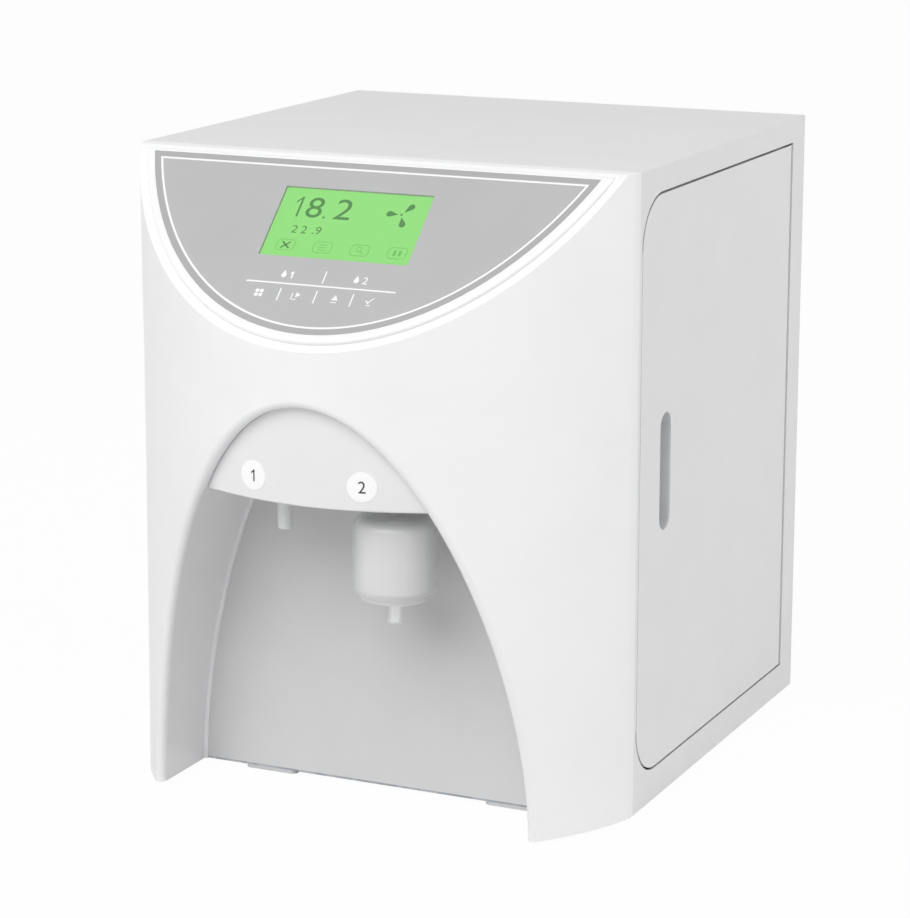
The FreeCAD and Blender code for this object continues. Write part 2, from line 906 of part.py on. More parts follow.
def door_face(grow, x):
    """The door's outline in a plane across X, grown all round: round front corners."""
    front = door_front - grow
    rear = door_back + grow
    low = door_low - grow
    high = door_high + grow
    radius = door_corner + grow
    turn = radius - radius * math.sqrt(0.5)
    a = Vector(x, rear, low)
    b = Vector(x, front + radius, low)
    b_mid = Vector(x, front + turn, low + turn)
    c = Vector(x, front, low + radius)
    d = Vector(x, front, high - radius)
    d_mid = Vector(x, front + turn, high - turn)
    e = Vector(x, front + radius, high)
    f = Vector(x, rear, high)
    return Part.Face(Part.Wire([
        Part.LineSegment(a, b).toShape(), Part.Arc(b, b_mid, c).toShape(),
        Part.LineSegment(c, d).toShape(), Part.Arc(d, d_mid, e).toShape(),
        Part.LineSegment(e, f).toShape(), Part.LineSegment(f, a).toShape(),
    ]))


def door_block(grow, x0, x1):
    return door_face(grow, x0).extrude(RIGHT * (x1 - x0))


def main_housing():
    """Both side walls and the top, folded from one sheet, with the door's opening."""
    shell = box(-half_width, half_width, seam_y, body_depth, base_z, top_z)
    shell = shell.cut(box(-inner_half, inner_half, -body_depth, 2 * body_depth, 0, top_z - sheet))
    shell = shell.cut(door_block(door_gap, inner_half - overrun, half_width + overrun))
    behind_door = box(inner_half - overrun, half_width + overrun, door_back, door_back + hinge_gap,
                      door_low - door_gap, door_high + door_gap)
    return shell.cut(behind_door)


def base_screw_places():
    """Screws up through the base plate into the inner wall's foot."""
    x = inner_wall_x + sheet + (inner_wall_flange - sheet) / 2
    return [Vector(x, share * body_depth, base_z) for share in base_screw_shares]


def obround_block(y, z, width, length, x0, x1):
    radius = width / 2
    reach = length / 2 - radius
    top = rod(radius, x1 - x0, Vector(x0, y, z + reach), RIGHT)
    bottom = rod(radius, x1 - x0, Vector(x0, y, z - reach), RIGHT)
    return joined([top, bottom, box(x0, x1, y - radius, y + radius, z - reach, z + reach)])


def slot_block(grow, x0, x1):
    y = door_front + slot_from_front
    z = (door_low + door_high) / 2 + slot_above_middle
    return obround_block(y, z, slot_width + 2 * grow, slot_length + 2 * grow, x0, x1)


def hinge_ends():
    """The hinge's two ends: the door edge's height, and which way is out of the door."""
    return [(door_low, -1), (door_high, 1)]


def side_door():
    pan = door_block(0, half_width - door_depth, half_width)
    pan = pan.cut(door_block(-sheet, half_width - door_depth - overrun, half_width - sheet))
    cutters = [slot_block(0, half_width - overrun, half_width + overrun)]
    for z, _ in hinge_ends():
        cutters.append(rod(bush_radius, 2 * overrun, Vector(hinge_x, hinge_y, z - overrun), UP))
    return pan.cut(cutters)


def door_handle_cup():
    """The cup behind the finger slot, with a rim that backs the door's skin."""
    front = half_width - sheet
    rear = front - cup_depth
    rim = slot_block(cup_rim, front - cup_wall, front)
    body = slot_block(cup_wall, rear, front)
    return joined([rim, body]).cut(slot_block(0, rear + cup_wall, front + overrun))


def door_bushings():
    bushes = []
    for z, out in hinge_ends():
        low = min(z, z - out * bush_length)
        bushes.append(pipe(bush_radius, hinge_pin_radius + running_gap, bush_length,
                           Vector(hinge_x, hinge_y, low), UP))
    return group(bushes)


def door_brackets():
    """Two angles inside the right wall that carry the hinge pins."""
    angles = []
    wall_x = inner_half
    y0 = hinge_y - bracket_width / 2
    y1 = hinge_y + bracket_width / 2
    for z, out in hinge_ends():
        near = z + out * (door_gap + seat_gap)
        far = near + out * bracket_thickness
        end = near + out * bracket_leg
        shelf = box(wall_x - bracket_reach, wall_x, y0, y1, min(near, far), max(near, far))
        leg = box(wall_x - bracket_thickness, wall_x, y0, y1, min(near, end), max(near, end))
        hole = rod(hinge_pin_radius, 2 * overrun, Vector(hinge_x, hinge_y, near - overrun), UP)
        angles.append(joined([shelf, leg]).cut(hole))
    return group(angles)


def door_pivot_pins():
    pins = []
    for z, out in hinge_ends():
        far = z + out * (door_gap + seat_gap + bracket_thickness + hinge_pin_proud)
        tip = z - out * hinge_pin_reach
        pins.append(rod(hinge_pin_radius, abs(far - tip),
                        Vector(hinge_x, hinge_y, min(tip, far)), UP))
    return group(pins)


def door_stop_frame():
    """A rebate inside the opening, open at the rear where the hinge edge swings in."""
    rear = hinge_y - 2 * hinge_inset_y
    deep = inner_half - stop_depth
    rim = door_block(door_gap + sheet, deep, inner_half)
    rim = rim.cut(door_block(door_gap, deep + sheet, inner_half + overrun))
    rim = rim.cut(door_block(-stop_ledge, deep - overrun, inner_half + overrun))
    return rim.common(box(0, body_width, 0, rear, 0, top_z))


def magnet_places():
    return [door_low + magnet_height_from_end, door_high - magnet_height_from_end]


def door_magnets():
    """Two magnets on the stop frame's ledge that hold the door's front rim."""
    face = half_width - door_depth - magnet_gap
    back = inner_half - stop_depth + sheet
    y0 = door_front - door_gap
    blocks = []
    for z in magnet_places():
        blocks.append(box(back, face, y0, y0 + magnet_width, z - magnet_length / 2,
                          z + magnet_length / 2))
    return group(blocks)


def base_plate():
    """The floor, with upturned sides inside the housing's walls."""
    outer = inner_half - seat_gap
    rear = body_depth - sheet - seat_gap
    start = seam_y + seat_gap
    front = plan_block(cover_wall + fit_gap, start, base_z, floor_z)
    front = front.common(box(-outer, outer, bay_wall_y, start, base_z, floor_z))
    floor = box(-outer, outer, start, rear, base_z, floor_z)
    high = base_z + flange_height
    left = box(-outer, -outer + sheet, start, rear, base_z, high)
    right = box(outer - sheet, outer, start, rear, base_z, high)
    holes = [rod(foot_peg_radius, 2 * overrun, Vector(x, y, base_z - overrun), UP)
             for x, y in foot_places()]
    holes += [rod(screw_radius, 2 * overrun, place - UP * overrun, UP)
              for place in base_screw_places()]
    return joined([floor, front, left, right]).cut(holes)


def foot_places():
    front = bay_wall_y + foot_length / 2
    rear = body_depth - foot_rear_margin - foot_length / 2
    return [(x, y) for y in (front, rear) for x in (foot_left_x, foot_right_x)]


def rubber_feet():
    feet = []
    for x, y in foot_places():
        pad = rounded_block(x - foot_width / 2, x + foot_width / 2, y - foot_length / 2,
                            y + foot_length / 2, 0, base_z, foot_corner)
        peg = rod(foot_peg_radius, foot_peg_length, Vector(x, y, base_z), UP)
        feet.append(joined([pad, peg]))
    return group(feet)


def port_places():
    return [Vector(port_first_x + step * port_pitch, body_depth, base_z + port_z)
            for step in range(port_count)]


def rear_screw_places():
    half = inner_half - rear_screw_margin
    low = base_z + flange_height + rear_screw_margin
    high = top_z - sheet - rear_screw_margin
    return [Vector(side * half, body_depth, z) for side in (-1, 1) for z in (low, high)]


def rear_panel():
    half = inner_half - seat_gap
    panel = box(-half, half, body_depth - sheet, body_depth, base_z, top_z - sheet - seat_gap)
    front = body_depth - sheet - overrun
    length = sheet + 2 * overrun
    cutters = [rod(port_body_radius, length, Vector(place.x, front, place.z), BACK)
               for place in port_places()]
    cutters += [rod(screw_radius, length, Vector(place.x, front, place.z), BACK)
                for place in rear_screw_places()]
    cutters.append(inlet_block(inlet_width, inlet_height, front, front + length))
    cutters.append(rocker_block(0, front, front + length))
    for step in range(vent_count):
        z = top_z - vent_drop + (step - (vent_count - 1) / 2) * vent_pitch
        left = -half_width + vent_from_side - vent_length / 2
        cutters.append(box(left, left + vent_length, front, front + length,
                           z - vent_width / 2, z + vent_width / 2))
    return panel.cut(cutters)


def inlet_block(width, height, front, rear):
    z = base_z + inlet_z
    return box(inlet_x - width / 2, inlet_x + width / 2, front, rear, z - height / 2,
               z + height / 2)


def power_inlet():
    """The appliance inlet: a flanged socket with three blades in it."""
    back = body_depth + inlet_flange_height
    body = inlet_block(inlet_width, inlet_height, body_depth - inlet_depth, body_depth)
    flange = inlet_block(inlet_width + 2 * inlet_flange, inlet_height + 2 * inlet_flange,
                         body_depth, back)
    corners = edges_where(flange, lambda edge: close_to(edge.BoundBox.YLength,
                                                        inlet_flange_height))
    flange = flange.makeFillet(inlet_flange / 2, corners)
    socket = inlet_block(inlet_socket_width, inlet_socket_height, back - inlet_socket_depth,
                         back + overrun)
    upper = edges_where(socket, lambda edge: edge.BoundBox.YLength > inlet_socket_depth
                        and middle(edge).z > base_z + inlet_z)
    socket = socket.makeChamfer(inlet_socket_chamfer, upper)
    whole = joined([body, flange]).cut(socket)
    blades = []
    floor_y = back - inlet_socket_depth
    for step in (-1, 0, 1):
        x = inlet_x + step * inlet_pin_pitch
        z = base_z + inlet_z + (inlet_pin_raise if step == 0 else -inlet_pin_raise)
        blades.append(box(x - inlet_pin_width / 2, x + inlet_pin_width / 2, floor_y,
                          floor_y + inlet_pin_length, z - inlet_pin_height / 2,
                          z + inlet_pin_height / 2))
    return joined([whole] + blades)


def rocker_block(shrink, front, rear):
    half = rocker_width / 2 + rocker_clear + sheet - shrink
    rise = rocker_height / 2 + rocker_clear + sheet - shrink
    return box(inlet_x - half, inlet_x + half, front, rear, switch_z - rise, switch_z + rise)


def switch_frame():
    """The rocker switch's body, with a bezel behind the panel's cut-out."""
    back = body_depth + rocker_frame_height
    body = rocker_block(0, body_depth - rocker_depth, body_depth)
    bezel = rocker_block(-rocker_frame, body_depth, back)
    well = rocker_block(sheet, body_depth - rocker_depth + sheet, back + overrun)
    axle = rod(rocker_pin_radius, rocker_width + 2 * rocker_clear + 2 * sheet,
               rocker_axis() - RIGHT * (rocker_width / 2 + rocker_clear + sheet), RIGHT)
    return joined([joined([body, bezel]).cut(well), axle])


def rocker_axis():
    return Vector(inlet_x, body_depth - rocker_axis_depth, switch_z)


def switch_rocker():
    """The rocker, tipped to off: two faces that meet in a shallow trough."""
    axis = rocker_axis()
    half = rocker_height / 2
    crown = rocker_axis_depth + rocker_frame_height
    points = [(-half, -rocker_swell), (-half, crown), (0, crown - rocker_frame_height / 2),
              (half, crown), (half, -rocker_swell), (0, -rocker_swell - rocker_frame_height)]
    loop = [Vector(-rocker_width / 2, y, z) for z, y in points]
    body = Part.Face(Part.makePolygon(loop + loop[:1])).extrude(RIGHT * rocker_width)
    bore = rod(rocker_pin_radius + running_gap, rocker_width + 2 * overrun,
               RIGHT * (-rocker_width / 2 - overrun), RIGHT)
    body = body.cut(bore)
    body.rotate(Vector(0, 0, 0), RIGHT, rocker_tilt)
    body.translate(axis)
    return body


def rear_ports():
    """Push-in tube ports: flange and collet outside, thread and nut inside."""
    ports = []
    for place in port_places():
        flange = rod(port_flange_radius, port_flange_height, place, BACK)
        rim = edges_where(flange, lambda edge: edge.Closed
                          and close_to(middle(edge).y, body_depth + port_flange_height))
        flange = flange.makeFillet(port_flange_height / 4, rim)
        neck_end = port_reach - port_collet_height
        neck = rod(port_body_radius + sheet, neck_end, place, BACK)
        collet = rod(port_collet_radius, port_collet_height, place + BACK * neck_end, BACK)
        inside = rod(port_body_radius, port_inside, place - BACK * port_inside, BACK)
        stub = rod(hose_radius, spout_stub, place - BACK * (port_inside + spout_stub), BACK)
        nut = regular_prism(6, port_nut_flats, port_nut_height,
                            place - BACK * (sheet + port_nut_height), BACK)
        bore = rod(port_tube_radius, port_tube_depth,
                   place + BACK * (port_reach - port_tube_depth), BACK)
        drill = rod(hose_bore, body_depth, place - BACK * (port_inside + spout_stub), BACK)
        ports.append(joined([flange, neck, collet, inside, stub, nut]).cut([bore, drill]))
    return group(ports)


def inner_wall():
    """The upright wall between the wet side and the dry side, flanged at both ends."""
    front = bay_wall_y + bay_panel_thickness + seat_gap
    rear = body_depth - sheet - seat_gap
    high = top_z - inner_wall_drop
    wall = box(inner_wall_x, inner_wall_x + sheet, front, rear, floor_z, high)
    foot = box(inner_wall_x, inner_wall_x + inner_wall_flange, front, rear, floor_z,
               floor_z + sheet)
    top = box(inner_wall_x, inner_wall_x + inner_wall_flange, front, rear, high - sheet, high)
    holes = [rod(screw_radius, 2 * overrun, place, UP) for place in base_screw_places()]
    return joined([wall, foot, top]).cut(holes)


def cartridge_ys():
    return [cartridge_first_y + step * cartridge_pitch for step in range(cartridge_count)]


def cartridge_profile(inset):
    low = base_z + cartridge_bottom + inset
    shoulder = cartridge_top - cartridge_neck_length - inset
    radius = cartridge_radius - inset
    neck = cartridge_neck_radius - inset
    high = cartridge_top - inset
    return [(0, low), (radius - cartridge_dome, low), (radius, low + cartridge_dome),
            (radius, shoulder - cartridge_shoulder), (neck, shoulder), (neck, high), (0, high)]


def cartridge_shell(y):
    outside = revolved(cartridge_profile(0), Vector(cartridge_x, y, 0))
    inside = revolved(cartridge_profile(cartridge_wall), Vector(cartridge_x, y, 0))
    bore = rod(hose_bore, 2 * cartridge_neck_length,
               Vector(cartridge_x, y, cartridge_top - cartridge_neck_length), UP)
    return outside.cut([inside, bore])


def cartridge_media(y, bore_radius):
    """What fills a cartridge, standing on its floor and just clear of its wall."""
    low = base_z + cartridge_bottom + cartridge_wall + media_gap / 2
    inset = cartridge_wall + media_gap
    radius = cartridge_radius - inset
    high = cartridge_top - cartridge_neck_length - cartridge_shoulder - inset
    profile = [(bore_radius, low), (radius - cartridge_dome, low), (radius, low + cartridge_dome),
               (radius, high), (bore_radius, high)]
    return revolved(profile, Vector(cartridge_x, y, 0))


def manifold_port(cartridge, side, along):
    """A port's tip: by which cartridge, left or right of it, in front or behind it."""
    return Vector(cartridge_x + side * manifold_width / 4,
                  cartridge_ys()[cartridge] + along * manifold_port_offset,
                  manifold_high + manifold_port_length)


def manifold_ports():
    return {
        "feed_in": manifold_port(0, -1, -1),
        "pretreated_out": manifold_port(1, -1, 1),
        "permeate_in": manifold_port(2, -1, -1),
        "permeate_out": manifold_port(2, 1, -1),
        "product_out": manifold_port(2, -1, 1),
        "tank": manifold_port(2, 1, 1),
    }


def filter_manifold():
    """The bar over the cartridges, with a round head for each neck and its ports on top."""
    ys = cartridge_ys()
    bar = box(inner_wall_x + sheet, cartridge_x + manifold_width / 2, ys[0] - manifold_margin,
              ys[-1] + manifold_margin, manifold_low, manifold_high)
    heads = [rod(manifold_head_radius, manifold_head_height, Vector(cartridge_x, y, manifold_seat),
                 UP) for y in ys]
    ports = [rod(manifold_port_radius, manifold_port_length, tip - UP * manifold_port_length, UP)
             for tip in manifold_ports().values()]
    drills = [rod(hose_bore, manifold_port_length + manifold_height / 2, tip, -UP)
              for tip in manifold_ports().values()]
    sockets = [rod(cartridge_neck_radius + fit_gap, manifold_socket_depth,
                   Vector(cartridge_x, y, manifold_seat), UP) for y in ys]
    return joined([bar] + heads + ports).cut(sockets + drills)


def clip_ring(radius, centre):
    """A spring clip round an upright body, open to the right."""
    outer = radius + clip_wall
    ring = pipe(outer, radius, clip_width, centre, UP)
    half = math.radians(clip_opening_angle / 2)
    reach = 2 * outer
    mouth = upright_prism([(0, 0), (reach * math.cos(half), reach * math.sin(half)),
                           (reach * math.cos(half), -reach * math.sin(half))],
                          -overrun, clip_width + 2 * overrun)
    mouth.translate(centre)
    return ring.cut(mouth)


def cartridge_clips():
    """Spring clips: on the inner wall for the cartridges, on the left wall for the membrane."""
    clips = []
    for share in clip_shares:
        z = base_z + cartridge_bottom + share * cartridge_length
        for y in cartridge_ys():
            ring = clip_ring(cartridge_radius + seat_gap, Vector(cartridge_x, y, z))
            stem = box(inner_wall_x + sheet, cartridge_x - cartridge_radius - seat_gap,
                       y - clip_width / 2, y + clip_width / 2, z, z + clip_width)
            clips.append(joined([ring, stem]))
        z = membrane_low + share * membrane_length
        ring = clip_ring(membrane_radius + seat_gap, Vector(membrane_x, membrane_y, z))
        stem = box(-inner_half, membrane_x - membrane_radius - seat_gap,
                   membrane_y - clip_width / 2, membrane_y + clip_width / 2, z, z + clip_width)
        clips.append(joined([ring, stem]))
    return group(clips)


def membrane_housing():
    low = membrane_low
    axis = Vector(membrane_x, membrane_y, 0)
    tube = rod(membrane_radius, membrane_length, axis + UP * low, UP)
    inside = rod(membrane_radius - membrane_wall, membrane_length,
                 axis + UP * (low + membrane_wall), UP)
    ports = [rod(membrane_port_radius, membrane_port_length, membrane_port(side), UP)
             for side in (-1, 1)]
    drills = [rod(hose_bore, membrane_port_length + 2 * membrane_wall, membrane_port(side), UP)
              for side in (-1, 1)]
    return joined([tube] + ports).cut([inside] + drills)


def membrane_port(side):
    """The tip of one of the two ports under the housing."""
    return Vector(membrane_x + side * membrane_radius / 2, membrane_y,
                  membrane_low - membrane_port_length)


def membrane_inlet():
    """The tip of the port on the cap."""
    return Vector(membrane_x, membrane_y, membrane_high - membrane_cap_overlap
                  + membrane_cap_height + membrane_port_length)


def membrane_cap():
    """The ribbed screw cap over the membrane housing's top, with its inlet."""
    axis = Vector(membrane_x, membrane_y, 0)
    low = membrane_high - membrane_cap_overlap
    cap = rod(membrane_cap_radius, membrane_cap_height, axis + UP * low, UP)
    ribs = []
    for step in range(membrane_cap_ribs):
        turn = 2 * math.pi * step / membrane_cap_ribs
        place = Vector(membrane_cap_radius * math.cos(turn), membrane_cap_radius * math.sin(turn),
                       low)
        ribs.append(rod(membrane_rib_radius, membrane_cap_height, axis + place, UP))
    port = rod(membrane_port_radius, membrane_port_length,
               axis + UP * (low + membrane_cap_height), UP)
    socket = rod(membrane_radius + seat_gap, membrane_cap_overlap + seat_gap, axis + UP * low, UP)
    drill = rod(hose_bore, membrane_cap_height + membrane_port_length, axis + UP * low, UP)
    return joined([cap, port] + ribs).cut([socket, drill])


def membrane_element():
    """The wound membrane on its centre tube, standing in the housing."""
    low = membrane_low + membrane_wall
    length = membrane_length - 2 * membrane_wall
    radius = membrane_radius - membrane_wall - membrane_core_gap
    return pipe(radius, hose_radius, length, Vector(membrane_x, membrane_y, low), UP)


def pump_axis(y):
    return Vector(pump_x, y, rotor_z)


def pump_port(side):
    """The tip of the pump's inlet or outlet."""
    return pump_axis(pump_front - pump_port_length) + RIGHT * side * pump_port_spread


def booster_pump_head():
    """The pump's head: a square block with a cavity, and two tube ports in front."""
    half = pump_head_side / 2
    head = box(pump_x - half, pump_x + half, pump_front, pump_back, rotor_z - half,
               rotor_z + half)
    corners = edges_where(head, lambda edge: close_to(edge.BoundBox.YLength, pump_head_length))
    head = head.makeChamfer(pump_head_chamfer, corners)
    cavity = rod(half - pump_head_wall, pump_head_length - pump_head_wall,
                 pump_axis(pump_front + pump_head_wall), BACK)
    ports = []
    drills = []
    for side in (-1, 1):
        tip = pump_port(side)
        ports.append(rod(pump_port_radius, pump_port_length, tip, BACK))
        drills.append(rod(hose_bore, pump_port_length + pump_head_wall + overrun, tip, BACK))
    return joined([head] + ports).cut([cavity] + drills)


def booster_motor():
    """The motor's can with both ends and its ring magnet."""
    start = pump_back
    can = rod(motor_radius, motor_length, pump_axis(start), BACK)
    inside = rod(motor_radius - motor_wall, motor_length - 2 * motor_end,
                 pump_axis(start + motor_end), BACK)
    holes = [rod(bearing_radius, motor_end, pump_axis(start), BACK),
             rod(bearing_radius, motor_end, pump_axis(start + motor_length - motor_end), BACK)]
    ring = pipe(motor_radius - motor_wall, motor_radius - motor_wall - magnet_ring_wall,
                armature_length, pump_axis(armature_start()), BACK)
    return joined([can.cut([inside] + holes), ring])


def armature_start():
    return pump_back + (motor_length - armature_length) / 2


def booster_bearings():
    """The two ball bearings in the motor's ends."""
    start = pump_back
    bore = shaft_radius + running_gap
    return group([
        pipe(bearing_radius, bore, bearing_width, pump_axis(start), BACK),
        pipe(bearing_radius, bore, bearing_width,
             pump_axis(start + motor_length - bearing_width), BACK),
    ])


def booster_rotor():
    """The motor's shaft and its slotted armature."""
    reach = eccentric_gap + eccentric_width
    shaft = rod(shaft_radius, motor_length + reach, pump_axis(pump_back - reach), BACK)
    stack = rod(armature_radius, armature_length, pump_axis(armature_start()), BACK)
    slots = []
    for step in range(armature_slots):
        slot = box(-armature_slot_width / 2, armature_slot_width / 2, 0, armature_length,
                   armature_radius - armature_slot_depth, armature_radius + overrun)
        slot.rotate(Vector(0, 0, 0), BACK, 360 * step / armature_slots)
        slot.translate(pump_axis(armature_start()))
        slots.append(slot)
    return joined([shaft, stack.cut(slots)])


def booster_eccentric():
    """The off-centre hub on the shaft's end that drives the pump's plate."""
    y = pump_back - eccentric_gap - eccentric_width
    hub = rod(eccentric_radius, eccentric_width, pump_axis(y) + RIGHT * eccentric_throw, BACK)
    return hub.cut(rod(shaft_radius, eccentric_width, pump_axis(y), BACK))


def pump_bracket():
    """The cradle under the motor, on four rubber grommets on the base plate."""
    half = cradle_width / 2
    y0 = pump_back + (motor_length - cradle_length) / 2
    y1 = y0 + cradle_length
    low = floor_z + grommet_height
    plate = box(pump_x - half, pump_x + half, y0, y1, low, low + cradle_thickness)
    rise = rotor_z - motor_radius / 2
    block = box(pump_x - motor_radius, pump_x + motor_radius, y0, y1, low, rise)
    saddle = rod(motor_radius, cradle_length, pump_axis(y0), BACK)
    inner = box(pump_x - motor_radius + cradle_foot, pump_x + motor_radius - cradle_foot,
                y0 + cradle_foot, y1 - cradle_foot, low - overrun, rise)
    return joined([plate, block.cut(saddle)]).cut(inner)


def grommet_places():
    half = cradle_width / 2 - grommet_hole_inset / 2
    y0 = pump_back + (motor_length - cradle_length) / 2 + grommet_hole_inset
    y1 = y0 + cradle_length - 2 * grommet_hole_inset
    return [Vector(pump_x + side * half, y, floor_z) for side in (-1, 1) for y in (y0, y1)]


def pump_grommets():
    return group([rod(grommet_radius, grommet_height, place, UP) for place in grommet_places()])


def valve_port(side):
    """The tip of the valve's front or rear port."""
    reach = valve_body_side / 2 + valve_port_length
    return Vector(valve_x, valve_y + side * reach, base_z + port_z)


def solenoid_valve():
    """The inlet valve's body, ports and core tube, on a foot on the base plate."""
    half = valve_body_side / 2
    low = valve_low
    body = box(valve_x - half, valve_x + half, valve_y - half, valve_y + half, low, valve_high)
    ports = [rod(valve_port_radius, valve_port_length, valve_port(side), BACK * -side)
             for side in (-1, 1)]
    foot = box(valve_x - half, valve_x + half, valve_y - half, valve_y + half, floor_z,
               floor_z + valve_bracket_wall)
    web = box(valve_x - half, valve_x - half + valve_bracket_wall, valve_y - half,
              valve_y + half, floor_z, low)
    other = web.translated(RIGHT * (valve_body_side - valve_bracket_wall))
    tube = rod(core_tube_radius, core_tube_height, Vector(valve_x, valve_y, valve_high), UP)
    bore = rod(plunger_radius + running_gap, plunger_length + plunger_travel + 2 * seat_gap,
               Vector(valve_x, valve_y, valve_high), UP)
    return joined([body, foot, web, other, tube] + ports).cut(bore)


def solenoid_coil():
    """The square coil over the core tube."""
    half = coil_side / 2
    low = valve_high
    coil = rounded_block(valve_x - half, valve_x + half, valve_y - half, valve_y + half, low,
                         low + coil_height, foot_corner)
    return coil.cut(rod(core_tube_radius, core_tube_height, Vector(valve_x, valve_y, low), UP))


def valve_plunger():
    """The steel plunger that the coil lifts off the valve's seat."""
    return rod(plunger_radius, plunger_length, Vector(valve_x, valve_y, valve_high + seat_gap),
               UP)


def power_supply():
    """The closed 24 V supply on the left wall, with slots in its face."""
    x0 = -inner_half + seat_gap
    z0 = top_z - supply_drop
    case = box(x0, x0 + supply_width, supply_y, supply_y + supply_length, z0, z0 + supply_height)
    slots = []
    for step in range(supply_slot_count):
        y = supply_y + supply_length / 2 + (step - (supply_slot_count - 1) / 2) * supply_slot_pitch
        z = z0 + supply_height / 2
        slots.append(box(x0 + supply_width - sheet, x0 + supply_width + overrun,
                         y - supply_slot_width / 2, y + supply_slot_width / 2,
                         z - supply_slot_height / 2, z + supply_slot_height / 2))
    return case.cut(slots)


def control_board_x():
    return -inner_half + board_stand


def control_board_holes():
    z0 = top_z - board_drop
    return [Vector(-inner_half, y, z)
            for y in (board_y + standoff_edge, board_y + board_length - standoff_edge)
            for z in (z0 + standoff_edge, z0 + board_height - standoff_edge)]


def control_board():
    """The main board with its chip, terminal rows and capacitors."""
    x0 = control_board_x()
    x1 = x0 + board_thickness
    z0 = top_z - board_drop
    board = box(x0, x1, board_y, board_y + board_length, z0, z0 + board_height)
    mid_y = board_y + board_length / 2
    mid_z = z0 + board_height / 2
    chip = box(x1, x1 + chip_height, mid_y - chip_side / 2, mid_y + chip_side / 2,
               mid_z - chip_side / 2, mid_z + chip_side / 2)
    edge = 2 * standoff_edge + standoff_radius
    low_row = box(x1, x1 + terminal_height, board_y + edge, board_y + board_length - edge,
                  z0, z0 + terminal_width)
    high_row = low_row.translated(UP * (board_height - terminal_width))
    cans = [rod(capacitor_radius, capacitor_height, Vector(x1, mid_y + side * 3 * capacitor_radius,
                                                           mid_z), RIGHT) for side in (-1, 1)]
    holes = [rod(screw_radius, board_thickness, place + RIGHT * board_stand, RIGHT)
             for place in control_board_holes()]
    return joined([board, chip, low_row, high_row] + cans).cut(holes)


def screws():
    """All the pan-head screws: rear panel, base plate and boards."""
    heads = [screw(place, BACK) for place in rear_screw_places()]
    heads += [screw(place, -UP) for place in base_screw_places()]
    for place in board_stand_places():
        below = place - UP * board_thickness
        heads.append(on_facet(screw(below, -UP)))
    for place in control_board_holes():
        heads.append(screw(place + RIGHT * (board_stand + board_thickness), RIGHT))
    return group(heads)


def route(points, radius):
    """A line through points with every corner rounded, as one wire."""
    edges = []
    start = points[0]
    for before, corner, after in zip(points, points[1:], points[2:]):
        into = (corner - before).normalize()
        out = (after - corner).normalize()
        half_turn = into.getAngle(out) / 2
        trim = radius * math.tan(half_turn)
        first = corner - into * trim
        last = corner + out * trim
        inward = (out - into).normalize()
        depth = radius / math.cos(half_turn) - radius
        edges.append(Part.LineSegment(start, first).toShape())
        edges.append(Part.Arc(first, corner + inward * depth, last).toShape())
        start = last
    edges.append(Part.LineSegment(start, points[-1]).toShape())
    return Part.Wire(edges)


def swept(path, direction, start, radius):
    """A round rod along a wire that sets out from start in the given direction."""
    ring = Part.Wire(Part.Circle(start, direction, radius).toShape())
    return path.makePipeShell([ring], True, False)


def hose(points):
    """One tube of the unit's plumbing along the points of its route."""
    path = route(points, hose_bend)
    direction = points[1] - points[0]
    outside = swept(path, direction, points[0], hose_radius)
    return outside.cut(swept(path, direction, points[0], hose_bore))


def through(start, *turns):
    """A route's points: from start, each turn names the one coordinate that changes."""
    points = [start]
    for turn in turns:
        point = Vector(points[-1])
        for axis, value in turn.items():
            setattr(point, axis, value)
        points.append(point)
    return points


def hose_level(step):
    return top_z - hose_level_drop + step * hose_level_step


def port_stub(step):
    return port_places()[step] - BACK * (port_inside + spout_stub)


def outlet_stub(side):
    return Vector(side * outlet_x, outlet_y, head_z + head_wall + spout_collar_height + spout_stub)


def outlet_hose_z():
    return outlet_stub(1).z + hose_exit_rise


def tubing():
    """The tubes between the ports, valve, pump, membrane, manifold and outlets."""
    ports = manifold_ports()
    feed = ports["feed_in"]
    pretreated = ports["pretreated_out"]
    permeate = ports["permeate_in"]
    pure_out = ports["permeate_out"]
    product = ports["product_out"]
    tank = ports["tank"]
    suction = pump_port(-1)
    pressure = pump_port(1)
    near = suction.y - hose_pump_forward
    low = base_z + hose_floor_height
    rear_tank = port_stub(1)
    rear_drain = port_stub(2)
    spout_top = outlet_stub(-1)
    capsule_top = outlet_stub(1)
    exit_z = outlet_hose_z()
    routes = [
        [port_stub(0), valve_port(1)],
        through(valve_port(-1), {"y": valve_port(-1).y - hose_valve_forward},
                {"z": hose_level(0)}, {"y": feed.y}, {"x": feed.x}, {"z": feed.z}),
        through(pretreated, {"z": hose_level(2)}, {"x": suction.x}, {"y": near},
                {"z": suction.z}, {"y": suction.y}),
        through(pressure, {"y": near}, {"z": hose_level(1)}, {"y": membrane_y},
                {"x": membrane_x}, {"z": membrane_inlet().z}),
        through(membrane_port(1), {"z": low}, {"y": membrane_y - hose_membrane_step},
                {"x": inner_wall_x - hose_wall_gap}, {"y": permeate.y}, {"z": hose_level(0)},
                {"x": permeate.x}, {"z": permeate.z}),
        through(membrane_port(-1), {"z": low}, {"y": membrane_y + hose_membrane_step},
                {"x": rear_drain.x}, {"y": membrane_y}, {"z": rear_drain.z},
                {"y": rear_drain.y}),
        through(tank, {"z": hose_level(1)}, {"y": body_depth - hose_rear_margin},
                {"x": rear_tank.x}, {"z": rear_tank.z}, {"y": rear_tank.y}),
        through(spout_top, {"z": exit_z}, {"y": hose_front_y}, {"z": hose_level(2)},
                {"x": pure_out.x}, {"y": pure_out.y}, {"z": pure_out.z}),
        through(capsule_top, {"z": exit_z}, {"y": hose_capsule_y}, {"z": hose_level(3)},
                {"x": product.x}, {"y": product.y}, {"z": product.z}),
    ]
    return group([hose(points) for points in routes])


